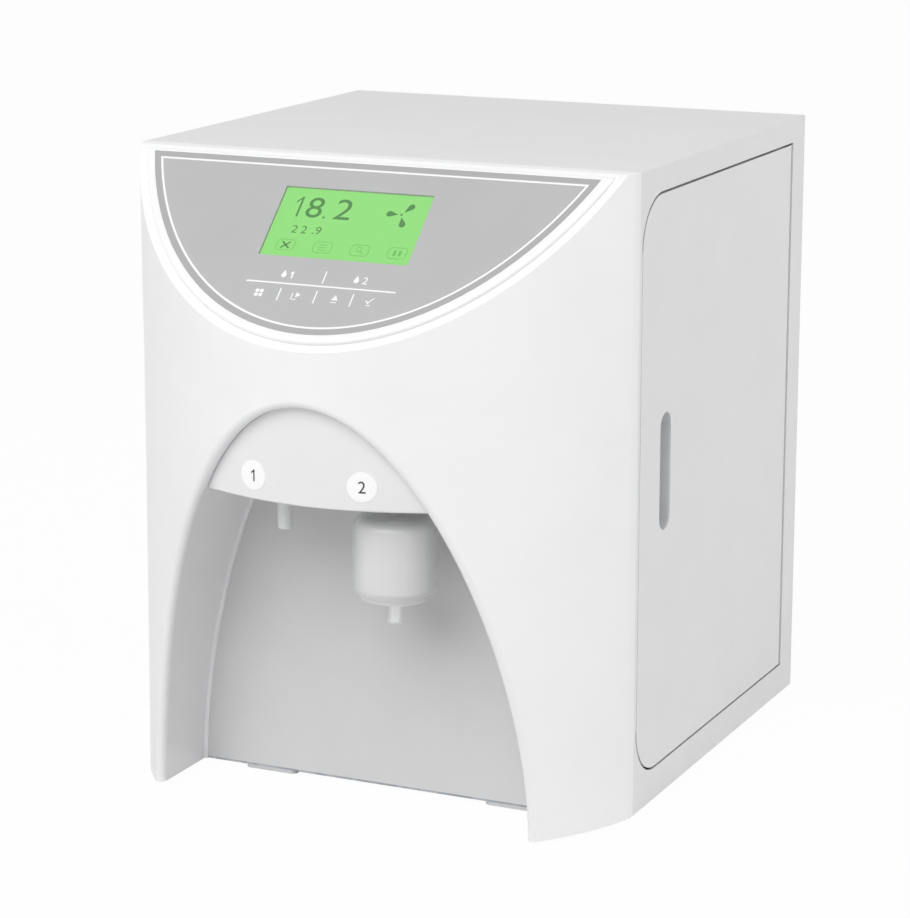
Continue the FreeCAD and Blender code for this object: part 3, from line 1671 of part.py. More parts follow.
def save(name, shape):
    moved = shape.copy()
    moved.translate(Vector(0, shift_y, 0))
    moved.exportStep(f"parts/{name}.step")


def pieces():
    made = {
        "front_cover": front_cover(),
        "control_overlay": control_overlay(),
        "display_window": display_window(),
        "display_module": display_module(),
        "key_board": key_board(),
        "board_standoffs": board_standoffs(),
        "dispensing_head": dispensing_head(),
        "number_labels": number_labels(),
        "spout": spout(),
        "capsule_shell": capsule_shell(),
        "capsule_membrane": capsule_membrane(),
        "capsule_fitting": capsule_fitting(),
        "bay_back_panel": bay_back_panel(),
        "main_housing": main_housing(),
        "base_plate": base_plate(),
        "rear_panel": rear_panel(),
        "rubber_feet": rubber_feet(),
        "side_door": side_door(),
        "door_handle_cup": door_handle_cup(),
        "door_bushings": door_bushings(),
        "door_pivot_pins": door_pivot_pins(),
        "door_brackets": door_brackets(),
        "door_stop_frame": door_stop_frame(),
        "door_magnets": door_magnets(),
        "inner_wall": inner_wall(),
        "filter_manifold": filter_manifold(),
        "cartridge_clips": cartridge_clips(),
        "membrane_housing": membrane_housing(),
        "membrane_cap": membrane_cap(),
        "membrane_element": membrane_element(),
        "booster_motor": booster_motor(),
        "booster_pump_head": booster_pump_head(),
        "booster_rotor": booster_rotor(),
        "booster_eccentric": booster_eccentric(),
        "booster_bearings": booster_bearings(),
        "pump_bracket": pump_bracket(),
        "pump_grommets": pump_grommets(),
        "solenoid_valve": solenoid_valve(),
        "solenoid_coil": solenoid_coil(),
        "valve_plunger": valve_plunger(),
        "power_supply": power_supply(),
        "control_board": control_board(),
        "rear_ports": rear_ports(),
        "power_inlet": power_inlet(),
        "switch_frame": switch_frame(),
        "switch_rocker": switch_rocker(),
        "screws": screws(),
        "tubing": tubing(),
    }
    for name, across, down in key_places():
        made[name] = key_stem(across, down)
    shells = ("sediment_cartridge", "carbon_cartridge", "polishing_cartridge")
    fillings = (("sediment_core", core_bore), ("carbon_block", core_bore), ("resin_bed", 0))
    for y, shell, (filling, bore) in zip(cartridge_ys(), shells, fillings):
        made[shell] = cartridge_shell(y)
        made[filling] = cartridge_media(y, bore)
    return made


os.makedirs("parts", exist_ok=True)
for node, solid in pieces().items():
    save(node, solid)
    print(node, len(solid.Solids), round(solid.Volume), solid.isValid())
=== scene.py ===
import json
import math
import bmesh
import bpy
from mathutils import Color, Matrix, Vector


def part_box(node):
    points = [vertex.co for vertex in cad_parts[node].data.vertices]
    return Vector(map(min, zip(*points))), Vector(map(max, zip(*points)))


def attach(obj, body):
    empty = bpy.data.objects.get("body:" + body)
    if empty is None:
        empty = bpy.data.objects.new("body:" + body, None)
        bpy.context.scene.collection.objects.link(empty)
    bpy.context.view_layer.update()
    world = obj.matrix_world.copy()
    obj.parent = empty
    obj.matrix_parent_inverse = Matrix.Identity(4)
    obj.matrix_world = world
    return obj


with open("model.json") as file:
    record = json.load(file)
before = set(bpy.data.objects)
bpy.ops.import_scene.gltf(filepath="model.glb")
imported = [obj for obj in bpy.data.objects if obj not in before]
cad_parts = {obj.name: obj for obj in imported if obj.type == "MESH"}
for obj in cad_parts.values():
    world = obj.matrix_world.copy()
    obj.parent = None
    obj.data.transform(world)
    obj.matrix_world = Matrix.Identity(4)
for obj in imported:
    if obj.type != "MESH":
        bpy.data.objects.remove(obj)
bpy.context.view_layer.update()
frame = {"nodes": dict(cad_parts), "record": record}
print("frame loaded with", len(frame["nodes"]), "nodes")

mm = 0.001

# Camera and studio

cameraLook = {"lens": 121.8, "place": (0.918, -1.9658, 0.7306), "pitch": 76.52, "roll": 0.0,
              "turn": 24.96, "farLimit": 60.0}

studio = {"worldLevel": 0.34, "seenWorld": 1.0, "floorHalf": 14.0, "floorColor": (222, 222, 222),
          "floorRough": 0.9, "seenGlow": 0.97}

lamps = [
    {"name": "keyLamp", "place": (-0.25, -2.7, 2.75), "aim": (0.0, -0.1, 0.25), "size": 3.2,
     "power": 103.0},
    {"name": "sideLamp", "place": (3.2, 0.7, 1.0), "aim": (0.0, 0.1, 0.25), "size": 1.4,
     "power": 36.0},
]


def linearColor(shade):
    return Color([part / 255 for part in shade]).from_srgb_to_scene_linear()


def addNode(tree, kind, sockets=None, **settings):
    node = tree.nodes.new(kind)
    for key, value in settings.items():
        setattr(node, key, value)
    for key, value in (sockets or {}).items():
        node.inputs[key].default_value = value
    return node


def placeCamera(look):
    data = bpy.data.cameras.new("mainCamera")
    data.lens = look["lens"]
    data.clip_end = look["farLimit"]
    camera = bpy.data.objects.new("mainCamera", data)
    camera.location = look["place"]
    camera.rotation_euler = [math.radians(look[key]) for key in ("pitch", "roll", "turn")]
    bpy.context.scene.collection.objects.link(camera)
    bpy.context.scene.camera = camera


def hangLamp(look):
    data = bpy.data.lights.new(look["name"], "AREA")
    data.shape = "DISK"
    data.size = look["size"]
    data.energy = look["power"]
    lamp = bpy.data.objects.new(look["name"], data)
    lamp.location = look["place"]
    aim = Vector(look["aim"]) - Vector(look["place"])
    lamp.rotation_euler = aim.to_track_quat("-Z", "Y").to_euler()
    bpy.context.scene.collection.objects.link(lamp)


def seenRays(tree):
    # 1 for what the camera, a reflection or clear plastic sees, 0 for light on the object
    path = addNode(tree, "ShaderNodeLightPath")
    both = addNode(tree, "ShaderNodeMath", operation="ADD", use_clamp=True)
    tree.links.new(path.outputs["Is Camera Ray"], both.inputs[0])
    tree.links.new(path.outputs["Is Glossy Ray"], both.inputs[1])
    every = addNode(tree, "ShaderNodeMath", operation="ADD", use_clamp=True)
    tree.links.new(both.outputs[0], every.inputs[0])
    tree.links.new(path.outputs["Is Transmission Ray"], every.inputs[1])
    return every.outputs[0]


def lightWorld(look):
    world = bpy.data.worlds.new("studioWorld")
    bpy.context.scene.world = world
    world.use_nodes = True
    tree = world.node_tree
    background = tree.nodes["Background"]
    background.inputs["Color"].default_value = (1, 1, 1, 1)
    level = addNode(tree, "ShaderNodeMapRange",
                    {"To Min": look["worldLevel"], "To Max": look["seenWorld"]})
    tree.links.new(seenRays(tree), level.inputs["Value"])
    tree.links.new(level.outputs["Result"], background.inputs["Strength"])


def layFloor(look):
    half = look["floorHalf"]
    mesh = bpy.data.meshes.new("studioFloor")
    mesh.from_pydata([(-half, -half, 0), (half, -half, 0), (half, half, 0), (-half, half, 0)],
                     [], [(0, 1, 2, 3)])
    floor = bpy.data.objects.new("studioFloor", mesh)
    bpy.context.scene.collection.objects.link(floor)
    material = bpy.data.materials.new("floorPaper")
    material.use_nodes = True
    tree = material.node_tree
    paper = tree.nodes["Principled BSDF"]
    paper.inputs["Base Color"].default_value = (*linearColor(look["floorColor"]), 1)
    paper.inputs["Roughness"].default_value = look["floorRough"]
    paper.inputs["Specular IOR Level"].default_value = 0.0
    glow = addNode(tree, "ShaderNodeEmission", {"Color": (1, 1, 1, 1), "Strength": 1.0})
    share = addNode(tree, "ShaderNodeMath", {1: look["seenGlow"]}, operation="MULTIPLY")
    tree.links.new(seenRays(tree), share.inputs[0])
    blend = addNode(tree, "ShaderNodeMixShader")
    tree.links.new(share.outputs[0], blend.inputs["Fac"])
    tree.links.new(paper.outputs[0], blend.inputs[1])
    tree.links.new(glow.outputs[0], blend.inputs[2])
    tree.links.new(blend.outputs[0], tree.nodes["Material Output"].inputs["Surface"])
    mesh.materials.append(material)


bpy.context.scene.view_settings.view_transform = "Standard"
placeCamera(cameraLook)
lightWorld(studio)
layFloor(studio)
for lampLook in lamps:
    hangLamp(lampLook)
print("camera, floor and lamps placed")

# Finishes. A colour is what a plain light shows, patch and grain are in spots per metre.

plainLook = {
    "color": (200, 200, 200), "tone": 0.03, "patch": 18.0, "rough": 0.45, "roughSpread": 0.06,
    "pattern": "cloud", "grain": 700.0, "grainHeight": 0.02, "stretch": (1, 1, 1),
    "metal": 0.0, "coat": 0.0, "coatRough": 0.15, "leastRough": 0.02, "alpha": 1.0,
    "specular": 0.5, "glow": 0.0,
}

finishes = {
    "cover_white": {"color": (243, 243, 244), "tone": 0.012, "rough": 0.32, "grain": 260.0,
                    "grainHeight": 0.006, "coat": 0.15},
    "film_silver": {"color": (181, 181, 182), "tone": 0.02, "rough": 0.42, "grain": 2600.0,
                    "grainHeight": 0.008},
    "display_glass": {"color": (225, 240, 222), "alpha": 0.05, "rough": 0.12, "tone": 0.0,
                      "grain": 900.0, "grainHeight": 0.001, "specular": 0.2},
    "display_metal": {"color": (160, 162, 163), "metal": 0.8, "rough": 0.38, "stretch": (1, 18, 18),
                      "grain": 240.0},
    "board_green": {"color": (30, 96, 66), "tone": 0.25, "pattern": "cells", "grain": 420.0,
                    "rough": 0.35, "grainHeight": 0.03},
    "fitting_brass": {"color": (214, 182, 112), "metal": 1.0, "rough": 0.28, "stretch": (1, 1, 30)},
    "head_white": {"color": (234, 234, 235), "tone": 0.012, "rough": 0.3, "grain": 300.0,
                   "grainHeight": 0.006, "coat": 0.12},
    "label_film": {"color": (252, 252, 252), "tone": 0.01, "rough": 0.3, "grain": 1600.0},
    "outlet_plastic": {"color": (244, 245, 245), "tone": 0.02, "rough": 0.3, "grain": 300.0,
                       "grainHeight": 0.004, "alpha": 0.92},
    "capsule_clear": {"color": (244, 245, 245), "alpha": 0.46, "rough": 0.2, "tone": 0.01,
                      "grain": 300.0, "grainHeight": 0.004, "coat": 0.4},
    # capsule_pleats glows faintly: painted light that brightens the pleats inside the clear shell
    "capsule_pleats": {"color": (238, 238, 236), "tone": 0.06, "rough": 0.8,
                       "stretch": (4, 4, 1), "grain": 1200.0, "grainHeight": 0.05, "glow": 0.12},
    "bay_panel": {"color": (215, 215, 216), "tone": 0.02, "rough": 0.5, "grain": 1400.0,
                  "grainHeight": 0.012},
    "housing_white": {"color": (229, 229, 230), "tone": 0.015, "rough": 0.46, "grain": 900.0,
                      "grainHeight": 0.014},
    "zinc_plate": {"color": (176, 180, 184), "metal": 0.9, "pattern": "cells", "tone": 0.12,
                   "grain": 110.0, "grainHeight": 0.004, "rough": 0.36, "roughSpread": 0.12},
    "foot_rubber": {"color": (206, 206, 207), "tone": 0.04, "rough": 0.8, "grain": 1500.0,
                    "grainHeight": 0.05},
    "cup_grey": {"color": (219, 220, 221), "tone": 0.04, "rough": 0.6, "grain": 1700.0,
                 "grainHeight": 0.05},
    "bush_plastic": {"color": (232, 231, 224), "rough": 0.4, "grain": 1200.0},
    "steel_bright": {"color": (196, 198, 200), "metal": 1.0, "rough": 0.24, "stretch": (1, 1, 24),
                     "grain": 500.0},
    "magnet_grey": {"color": (74, 74, 76), "metal": 0.3, "rough": 0.6, "grain": 1300.0,
                    "grainHeight": 0.06},
    "manifold_black": {"color": (38, 38, 40), "tone": 0.1, "rough": 0.42, "grain": 1400.0,
                       "grainHeight": 0.05},
    "clip_black": {"color": (46, 46, 48), "tone": 0.1, "rough": 0.5, "grain": 1100.0,
                   "grainHeight": 0.05},
    "vessel_white": {"color": (238, 238, 238), "rough": 0.26, "grain": 300.0, "coat": 0.2},
    "vessel_blue": {"color": (58, 98, 160), "tone": 0.08, "rough": 0.4, "grain": 1200.0,
                    "grainHeight": 0.04},
    "membrane_wrap": {"color": (206, 214, 224), "pattern": "bands", "grain": 26.0, "tone": 0.14,
                      "rough": 0.35, "grainHeight": 0.2},
    "motor_can": {"color": (48, 48, 50), "tone": 0.1, "rough": 0.34, "grain": 800.0,
                  "grainHeight": 0.04},
    "bearing_chrome": {"color": (210, 210, 214), "metal": 1.0, "rough": 0.12, "stretch": (30, 1, 30)},
    "valve_body": {"color": (228, 228, 224), "rough": 0.42, "grain": 1200.0},
    "coil_black": {"color": (40, 40, 42), "tone": 0.1, "rough": 0.5, "grain": 1600.0,
                   "grainHeight": 0.06},
    "supply_case": {"color": (196, 198, 200), "metal": 0.9, "rough": 0.34, "stretch": (1, 1, 40),
                    "grain": 300.0},
    "port_grey": {"color": (116, 120, 124), "tone": 0.08, "rough": 0.42, "grain": 1300.0,
                  "grainHeight": 0.04},
    "inlet_black": {"color": (34, 34, 36), "tone": 0.1, "rough": 0.4, "grain": 1500.0,
                    "grainHeight": 0.05},
    "rocker_black": {"color": (28, 28, 30), "rough": 0.25, "grain": 900.0, "coat": 0.2},
    "hose_clear": {"color": (218, 226, 230), "alpha": 0.72, "rough": 0.22, "grain": 600.0},
    "key_grey": {"color": (136, 138, 140), "rough": 0.5, "grain": 1500.0},
    "cartridge_white": {"color": (240, 240, 240), "rough": 0.36, "grain": 900.0, "tone": 0.02},
    "cartridge_clear": {"color": (232, 236, 236), "alpha": 0.2, "rough": 0.2, "coat": 0.3},
    "sediment_fibre": {"color": (240, 240, 234), "pattern": "bands", "grain": 120.0, "tone": 0.1,
                       "rough": 0.9, "grainHeight": 0.5},
    "carbon_black": {"color": (26, 26, 26), "pattern": "cells", "grain": 700.0, "tone": 0.4,
                     "rough": 0.75, "grainHeight": 0.3},
    "resin_amber": {"color": (196, 132, 58), "pattern": "cells", "grain": 900.0, "tone": 0.5,
                    "rough": 0.3, "grainHeight": 0.5},
}


def patternSockets(tree, look):
    # The broad tone of a finish and its fine relief, both from 0 to 1
    coords = addNode(tree, "ShaderNodeTexCoord")
    spread = addNode(tree, "ShaderNodeMapping", {"Scale": look["stretch"]})
    tree.links.new(coords.outputs["Object"], spread.inputs["Vector"])
    tone = addNode(tree, "ShaderNodeTexNoise",
                   {"Scale": look["patch"], "Detail": 5.0, "Roughness": 0.6})
    tree.links.new(spread.outputs[0], tone.inputs["Vector"])
    if look["pattern"] == "cells":
        relief = addNode(tree, "ShaderNodeTexVoronoi", {"Scale": look["grain"]})
        tree.links.new(spread.outputs[0], relief.inputs["Vector"])
        cell = addNode(tree, "ShaderNodeSeparateColor")
        tree.links.new(relief.outputs["Color"], cell.inputs["Color"])
        hollow = addNode(tree, "ShaderNodeMath", {0: 1.0}, operation="SUBTRACT")
        tree.links.new(relief.outputs["Distance"], hollow.inputs[1])
        return cell.outputs["Red"], hollow.outputs[0]
    if look["pattern"] == "bands":
        relief = addNode(tree, "ShaderNodeTexWave",
                         {"Scale": look["grain"], "Distortion": 1.5, "Detail": 3.0},
                         bands_direction="Z")
        tree.links.new(spread.outputs[0], relief.inputs["Vector"])
        return relief.outputs["Fac"], relief.outputs["Fac"]
    relief = addNode(tree, "ShaderNodeTexNoise", {"Scale": look["grain"], "Detail": 3.0})
    tree.links.new(spread.outputs[0], relief.inputs["Vector"])
    return tone.outputs["Fac"], relief.outputs["Fac"]


def makeFinish(name, changes):
    look = {**plainLook, **changes}
    material = bpy.data.materials.new(name)
    material.use_nodes = True
    tree = material.node_tree
    surface = tree.nodes["Principled BSDF"]
    tone, relief = patternSockets(tree, look)
    light = linearColor(look["color"])
    shown = [part * (1 - look["glow"]) for part in light]
    deep = [part * (1 - look["tone"]) ** 2 for part in shown]
    spread = addNode(tree, "ShaderNodeMapRange", {"From Min": 0.3, "From Max": 0.7})
    tree.links.new(tone, spread.inputs["Value"])
    shade = addNode(tree, "ShaderNodeMix", {6: (*deep, 1), 7: (*shown, 1)}, data_type="RGBA")
    tree.links.new(spread.outputs[0], shade.inputs[0])
    tree.links.new(shade.outputs[2], surface.inputs["Base Color"])
    smoothest = max(look["rough"] - look["roughSpread"], look["leastRough"])
    gloss = addNode(tree, "ShaderNodeMapRange",
                    {"To Min": smoothest, "To Max": look["rough"] + look["roughSpread"]})
    tree.links.new(relief, gloss.inputs["Value"])
    tree.links.new(gloss.outputs[0], surface.inputs["Roughness"])
    bump = addNode(tree, "ShaderNodeBump", {"Strength": 1.0, "Distance": look["grainHeight"] * mm})
    tree.links.new(relief, bump.inputs["Height"])
    tree.links.new(bump.outputs[0], surface.inputs["Normal"])
    surface.inputs["Metallic"].default_value = look["metal"]
    surface.inputs["Coat Weight"].default_value = look["coat"]
    surface.inputs["Coat Roughness"].default_value = look["coatRough"]
    surface.inputs["Specular IOR Level"].default_value = look["specular"]
    surface.inputs["Alpha"].default_value = look["alpha"]
    if look["glow"]:
        surface.inputs["Emission Color"].default_value = (*light, 1)
        surface.inputs["Emission Strength"].default_value = look["glow"]
    return material


materials = {slot: makeFinish(slot, look) for slot, look in finishes.items()}
for subpart in frame["record"]["subparts"]:
    for holder in frame["nodes"][subpart["node"]].material_slots:
        holder.material = materials[subpart["material_slot"]]
print("finishes put on the frame:", len(materials))

# Marks: flat outlines and figures, laid on a face of the object by a place function


def fitFlat(mesh, span):
    # Stretches a flat mesh to span: its left, bottom, right and top
    for axis in (0, 1):
        values = [vertex.co[axis] for vertex in mesh.vertices]
        low, high = min(values), max(values)
        for vertex in mesh.vertices:
            share = (vertex.co[axis] - low) / (high - low)
            vertex.co[axis] = span[axis] + share * (span[axis + 2] - span[axis])


def sliceFlat(mesh, step):
    # Cuts a flat mesh upright at every step, so that it bends round a cylinder
    built = bmesh.new()
    built.from_mesh(mesh)
    values = [vertex.co.x for vertex in mesh.vertices]
    for cut in range(1, math.ceil((max(values) - min(values)) / step)):
        bmesh.ops.bisect_plane(built, geom=built.verts[:] + built.edges[:] + built.faces[:],
                               plane_co=(min(values) + cut * step, 0, 0), plane_no=(1, 0, 0))
    built.to_mesh(mesh)
    built.free()


def addMark(name, curve, place, settings, span=None):
    # settings: ink, slot (not used), body, lift, depth and slice; place turns across, up and out into a
    # point
    curve.extrude = settings["depth"] / 2
    holder = bpy.data.objects.new(name, curve)
    mesh = bpy.data.meshes.new_from_object(holder)
    if span:
        fitFlat(mesh, span)
    if "slice" in settings:
        sliceFlat(mesh, settings["slice"])
    for vertex in mesh.vertices:
        across, up, out = vertex.co
        vertex.co = place(across, up, out + settings["lift"] + settings["depth"] / 2)
    bpy.data.objects.remove(holder)
    bpy.data.curves.remove(curve)
    mesh.name = name
    mesh.materials.clear()
    mesh.materials.append(settings["ink"])
    mark = bpy.data.objects.new(name, mesh)
    bpy.context.scene.collection.objects.link(mark)
    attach(mark, settings["body"])
    return mark


def outlineCurve(outlines):
    curve = bpy.data.curves.new("outline", "CURVE")
    curve.dimensions = "2D"
    curve.fill_mode = "BOTH"
    for points in outlines:
        spline = curve.splines.new("POLY")
        spline.points.add(len(points) - 1)
        for knot, point in zip(spline.points, points):
            knot.co = (point[0], point[1], 0, 1)
        spline.use_cyclic_u = True
    return curve


def figureCurve(text, weight=0.0, spacing=1.0):
    curve = bpy.data.curves.new("figure", "FONT")
    curve.body = text
    curve.offset = weight
    curve.space_character = spacing
    return curve


oneShares = {"knee": 0.24, "flagFrom": 0.7, "flagDrop": 1.5}


def oneOutline(span, line):
    # The figure 1 with its flag
    left, bottom, right, top = span
    knee = top - (top - bottom) * oneShares["knee"]
    return [(right - line, bottom), (right, bottom), (right, top),
            (right - line * oneShares["flagFrom"], top), (left, knee), (left, knee - line),
            (right - line, top - line * oneShares["flagDrop"])]


def addFigure(name, figure, span, line, place, settings):
    if figure == "1":
        return addMark(name, outlineCurve([oneOutline(span, line)]), place, settings)
    return addMark(name, figureCurve(figure), place, settings, span)


sharpTurn = 35


def addSolid(name, shapes, settings, rounding=0.0):
    # shapes: pairs of corners and faces; settings: ink, slot (not used) and body
    mesh = bpy.data.meshes.new(name)
    built = bmesh.new()
    for corners, sides in shapes:
        placed = [built.verts.new(corner) for corner in corners]
        for side in sides:
            built.faces.new([placed[corner] for corner in side])
    bmesh.ops.recalc_face_normals(built, faces=built.faces)
    built.to_mesh(mesh)
    built.free()
    mesh.materials.append(settings["ink"])
    mesh.shade_smooth()
    mesh.set_sharp_from_angle(angle=math.radians(sharpTurn))
    piece = bpy.data.objects.new(name, mesh)
    bpy.context.scene.collection.objects.link(piece)
    if rounding:
        bevel = piece.modifiers.new("rounding", "BEVEL")
        bevel.width = rounding
        bevel.segments = 2
    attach(piece, settings["body"])
    return piece


def turnedShape(profile, centre, axis=(0, 0, 1), steps=48, sweep=360.0, start=0.0):
    # profile: a loop of radius and height pairs, turned about the axis through centre
    basis = Vector((0, 0, 1)).rotation_difference(Vector(axis)).to_matrix()
    count = steps if sweep == 360.0 else steps + 1
    size = len(profile)
    corners, sides = [], []
    for step in range(count):
        turn = math.radians(start + sweep * step / steps)
        for radius, height in profile:
            spoke = Vector((radius * math.cos(turn), radius * math.sin(turn), height))
            corners.append(Vector(centre) + basis @ spoke)
    for step in range(steps):
        near, far = step * size, (step + 1) % count * size
        for corner in range(size):
            after = (corner + 1) % size
            sides.append((near + corner, near + after, far + after, far + corner))
    if count > steps:
        sides += [tuple(range(size)), tuple(range(steps * size, count * size))]
    return corners, sides


def ringProfile(inner, outer, low, high, edge=0.0):
    return [(inner, low), (outer - edge, low), (outer, low + edge), (outer, high - edge),
            (outer - edge, high), (inner, high)]


def blockShape(low, high):
    corners = [Vector((x, y, z)) for z in (low[2], high[2])
               for y in (low[1], high[1]) for x in (low[0], high[0])]
    return corners, [(0, 2, 3, 1), (4, 5, 7, 6), (0, 1, 5, 4), (2, 6, 7, 3), (0, 4, 6, 2), (1, 3, 7, 5)]


def boxOutline(centre, width, height, corner=0.0, steps=5):
    points = []
    for quarter, (sideX, sideY) in enumerate(((1, 1), (-1, 1), (-1, -1), (1, -1))):
        for step in range(steps + 1 if corner else 1):
            turn = math.radians(90 * (quarter + step / steps))
            points.append((centre[0] + sideX * (width / 2 - corner) + corner * math.cos(turn),
                           centre[1] + sideY * (height / 2 - corner) + corner * math.sin(turn)))
    return points


def ringOutlines(centre, radius, line, steps=28):
    rings = []
    for reach in (radius, radius - line):
        turns = [math.tau * step / steps for step in range(steps)]
        rings.append([(centre[0] + reach * math.cos(turn), centre[1] + reach * math.sin(turn))
                      for turn in turns])
    return rings


def strokeOutline(points, line):
    left, right = [], []
    for index, point in enumerate(points):
        before = Vector(points[max(index - 1, 0)])
        after = Vector(points[min(index + 1, len(points) - 1)])
        along = (after - before).normalized()
        side = Vector((-along.y, along.x)) * line / 2
        left.append(tuple(Vector(point) + side))
        right.append(tuple(Vector(point) - side))
    return left + right[::-1]


def dropOutline(centre, radius, reach, turn, steps=18):
    # A droplet whose round end lies at centre and whose tip points along turn
    half = math.acos(radius / reach)
    points = [(reach, 0)]
    for step in range(steps + 1):
        angle = half + (math.tau - 2 * half) * step / steps
        points.append((radius * math.cos(angle), radius * math.sin(angle)))
    turned = math.radians(turn)
    return [(centre[0] + x * math.cos(turned) - y * math.sin(turned),
             centre[1] + x * math.sin(turned) + y * math.cos(turned)) for x, y in points]


# Control panel. Across is from the middle, down is from the panel's top edge along its slope.

panel = {
    "slope": 43.5, "filmThickness": 0.5 * mm, "filmTop": 7.7 * mm,
    "archMiddle": 114.29 * mm, "archHalfWidth": 187.0 * mm, "archHalfHeight": 262.5 * mm,
    "borderInset": 4.6 * mm, "lineInset": 4.6 * mm, "line": 1.5 * mm,
    "inkDepth": 0.03 * mm, "inkLift": 0.005 * mm,
    "borderInk": {"color": (170, 170, 171), "tone": 0.02, "rough": 0.4, "grain": 2600.0},
    "whiteInk": {"color": (246, 246, 246), "tone": 0.01, "rough": 0.4, "grain": 2600.0},
}

keys = {
    "ruleDrop": 109.5 * mm, "ruleFrom": -55.0 * mm, "ruleTo": 54.0 * mm, "ruleLine": 1.15 * mm,
    "upperDrop": 102.3 * mm, "lowerDrop": 118.4 * mm, "pitch": 26.5 * mm,
    "upperBar": 10.0 * mm, "lowerBar": 10.1 * mm, "barLine": 0.9 * mm, "icon": 6.0 * mm,
    "rowShift": 1.1 * mm, "iconShifts": (2.6 * mm, 1.6 * mm, 0.0, 1.5 * mm),
    "tileReachShare": 0.54, "tileShare": 0.88, "tileCornerShare": 0.24,
    "figure": 7.0 * mm, "figureLine": 1.08 * mm, "figureLeftShare": 0.2, "figureHighShare": 0.4,
    "figureWideShares": {"1": 0.3, "2": 0.5}, "dropSink": 0.6 * mm, "dropPlaceShare": 0.45,
    "dropRoundShare": 0.26, "dropReachShare": 0.6,
}

# The icons for next, raise and confirm; the one for the menu is four tiles

iconShares = [
    {"shape": [(-0.1, 0.9), (1.0, 0.2), (-0.1, -0.5)],
     "stroke": [(-1.0, 0.6), (-1.0, -1.0), (0.2, -1.0)], "line": 0.24},
    {"shape": [(-0.8, -0.4), (0.8, -0.4), (0.0, 1.0)],
     "stroke": [(-0.7, -1.0), (0.7, -1.0)], "line": 0.2},
    {"shape": [(-1.0, 0.1), (-0.3, -0.6), (1.0, 1.0), (0.75, 1.0), (-0.3, -0.15), (-0.75, 0.3)],
     "stroke": [(-0.5, -1.0), (0.5, -1.0)], "line": 0.2},
]

panelTurn = math.radians(panel["slope"])
panelOut = Vector((0, -math.sin(panelTurn), math.cos(panelTurn)))
panelDown = Vector((0, -math.cos(panelTurn), -math.sin(panelTurn)))
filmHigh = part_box("control_overlay")[1]
filmEdge = Vector((0, filmHigh.y, filmHigh.z)) + Vector((0, panelOut.y * panel["filmThickness"], 0))


def panelPlace(across, up, out):
    # up is measured from the panel's top edge, so it is negative on the panel
    return (filmEdge + Vector((across, 0, 0)) - panelDown * (up + panel["filmTop"])
            + panelOut * out)


def fieldOutline(inset, steps=96):
    # The film's outline, held in by inset: an arc of an ellipse closed by a straight top
    points = []
    for step in range(steps + 1):
        turn = math.pi * step / steps
        across, up = math.cos(turn), math.sin(turn)
        edge = Vector((panel["archHalfWidth"] * across, -panel["archHalfHeight"] * up))
        outward = Vector((across / panel["archHalfWidth"], -up / panel["archHalfHeight"])).normalized()
        point = edge - outward * inset + Vector((0, panel["archMiddle"]))
        points.append(point)
    top = -panel["filmTop"] - inset
    kept = []
    for first, second in zip(points, points[1:]):
        if (first.y > top) != (second.y > top):
            kept.append(first.lerp(second, (top - first.y) / (second.y - first.y)))
        if second.y <= top:
            kept.append(second)
    return [tuple(point) for point in kept]


whiteInk = makeFinish("whiteInk", panel["whiteInk"])
borderInk = makeFinish("borderInk", panel["borderInk"])
printed = {"ink": whiteInk, "slot": "film_silver", "body": "housing",
           "lift": panel["inkLift"], "depth": panel["inkDepth"]}
addMark("fieldBorder", outlineCurve([fieldOutline(0.0), fieldOutline(panel["borderInset"])]),
        panelPlace, {**printed, "ink": borderInk})
lineEnd = panel["lineInset"] + panel["line"]
addMark("fieldLine", outlineCurve([fieldOutline(panel["lineInset"]), fieldOutline(lineEnd)]),
        panelPlace, printed)

keyBars = [strokeOutline([(keys["ruleFrom"], -keys["ruleDrop"]), (keys["ruleTo"], -keys["ruleDrop"])],
                         keys["ruleLine"])]
barPlaces = [(0.0, keys["upperDrop"], keys["upperBar"])]
for side in (-1, 0, 1):
    barPlaces.append((side * keys["pitch"] - keys["rowShift"], keys["lowerDrop"], keys["lowerBar"]))
for across, drop, height in barPlaces:
    keyBars.append(strokeOutline([(across, -drop - height / 2), (across, -drop + height / 2)],
                                 keys["barLine"]))
addMark("keyLines", outlineCurve(keyBars), panelPlace, printed)


def keyIcon(x, y, half, shares):
    # The shares give a filled outline and a stroke in halves of the icon's size
    def spots(points):
        return [(x + half * across, y + half * up) for across, up in points]
    return [spots(shares["shape"]), strokeOutline(spots(shares["stroke"]), half * shares["line"])]


half = keys["icon"] / 2
middleIcon = (len(keys["iconShifts"]) - 1) / 2
iconPlaces = [((step - middleIcon) * keys["pitch"] - shift, -keys["lowerDrop"])
              for step, shift in enumerate(keys["iconShifts"])]
keyIcons = []
for sideX in (-1, 1):
    for sideY in (-1, 1):
        centre = (iconPlaces[0][0] + sideX * half * keys["tileReachShare"],
                  iconPlaces[0][1] + sideY * half * keys["tileReachShare"])
        keyIcons.append(boxOutline(centre, half * keys["tileShare"], half * keys["tileShare"],
                                   half * keys["tileCornerShare"]))
for (x, y), shares in zip(iconPlaces[1:], iconShares):
    keyIcons += keyIcon(x, y, half, shares)
for side in (-1, 1):
    centre = (side * keys["pitch"] - keys["figure"] * keys["dropPlaceShare"],
              -keys["upperDrop"] - keys["dropSink"])
    keyIcons.append(dropOutline(centre, keys["figure"] * keys["dropRoundShare"],
                                keys["figure"] * keys["dropReachShare"], 90))
addMark("keyIcons", outlineCurve(keyIcons), panelPlace, printed)
high = keys["figure"] * keys["figureHighShare"]
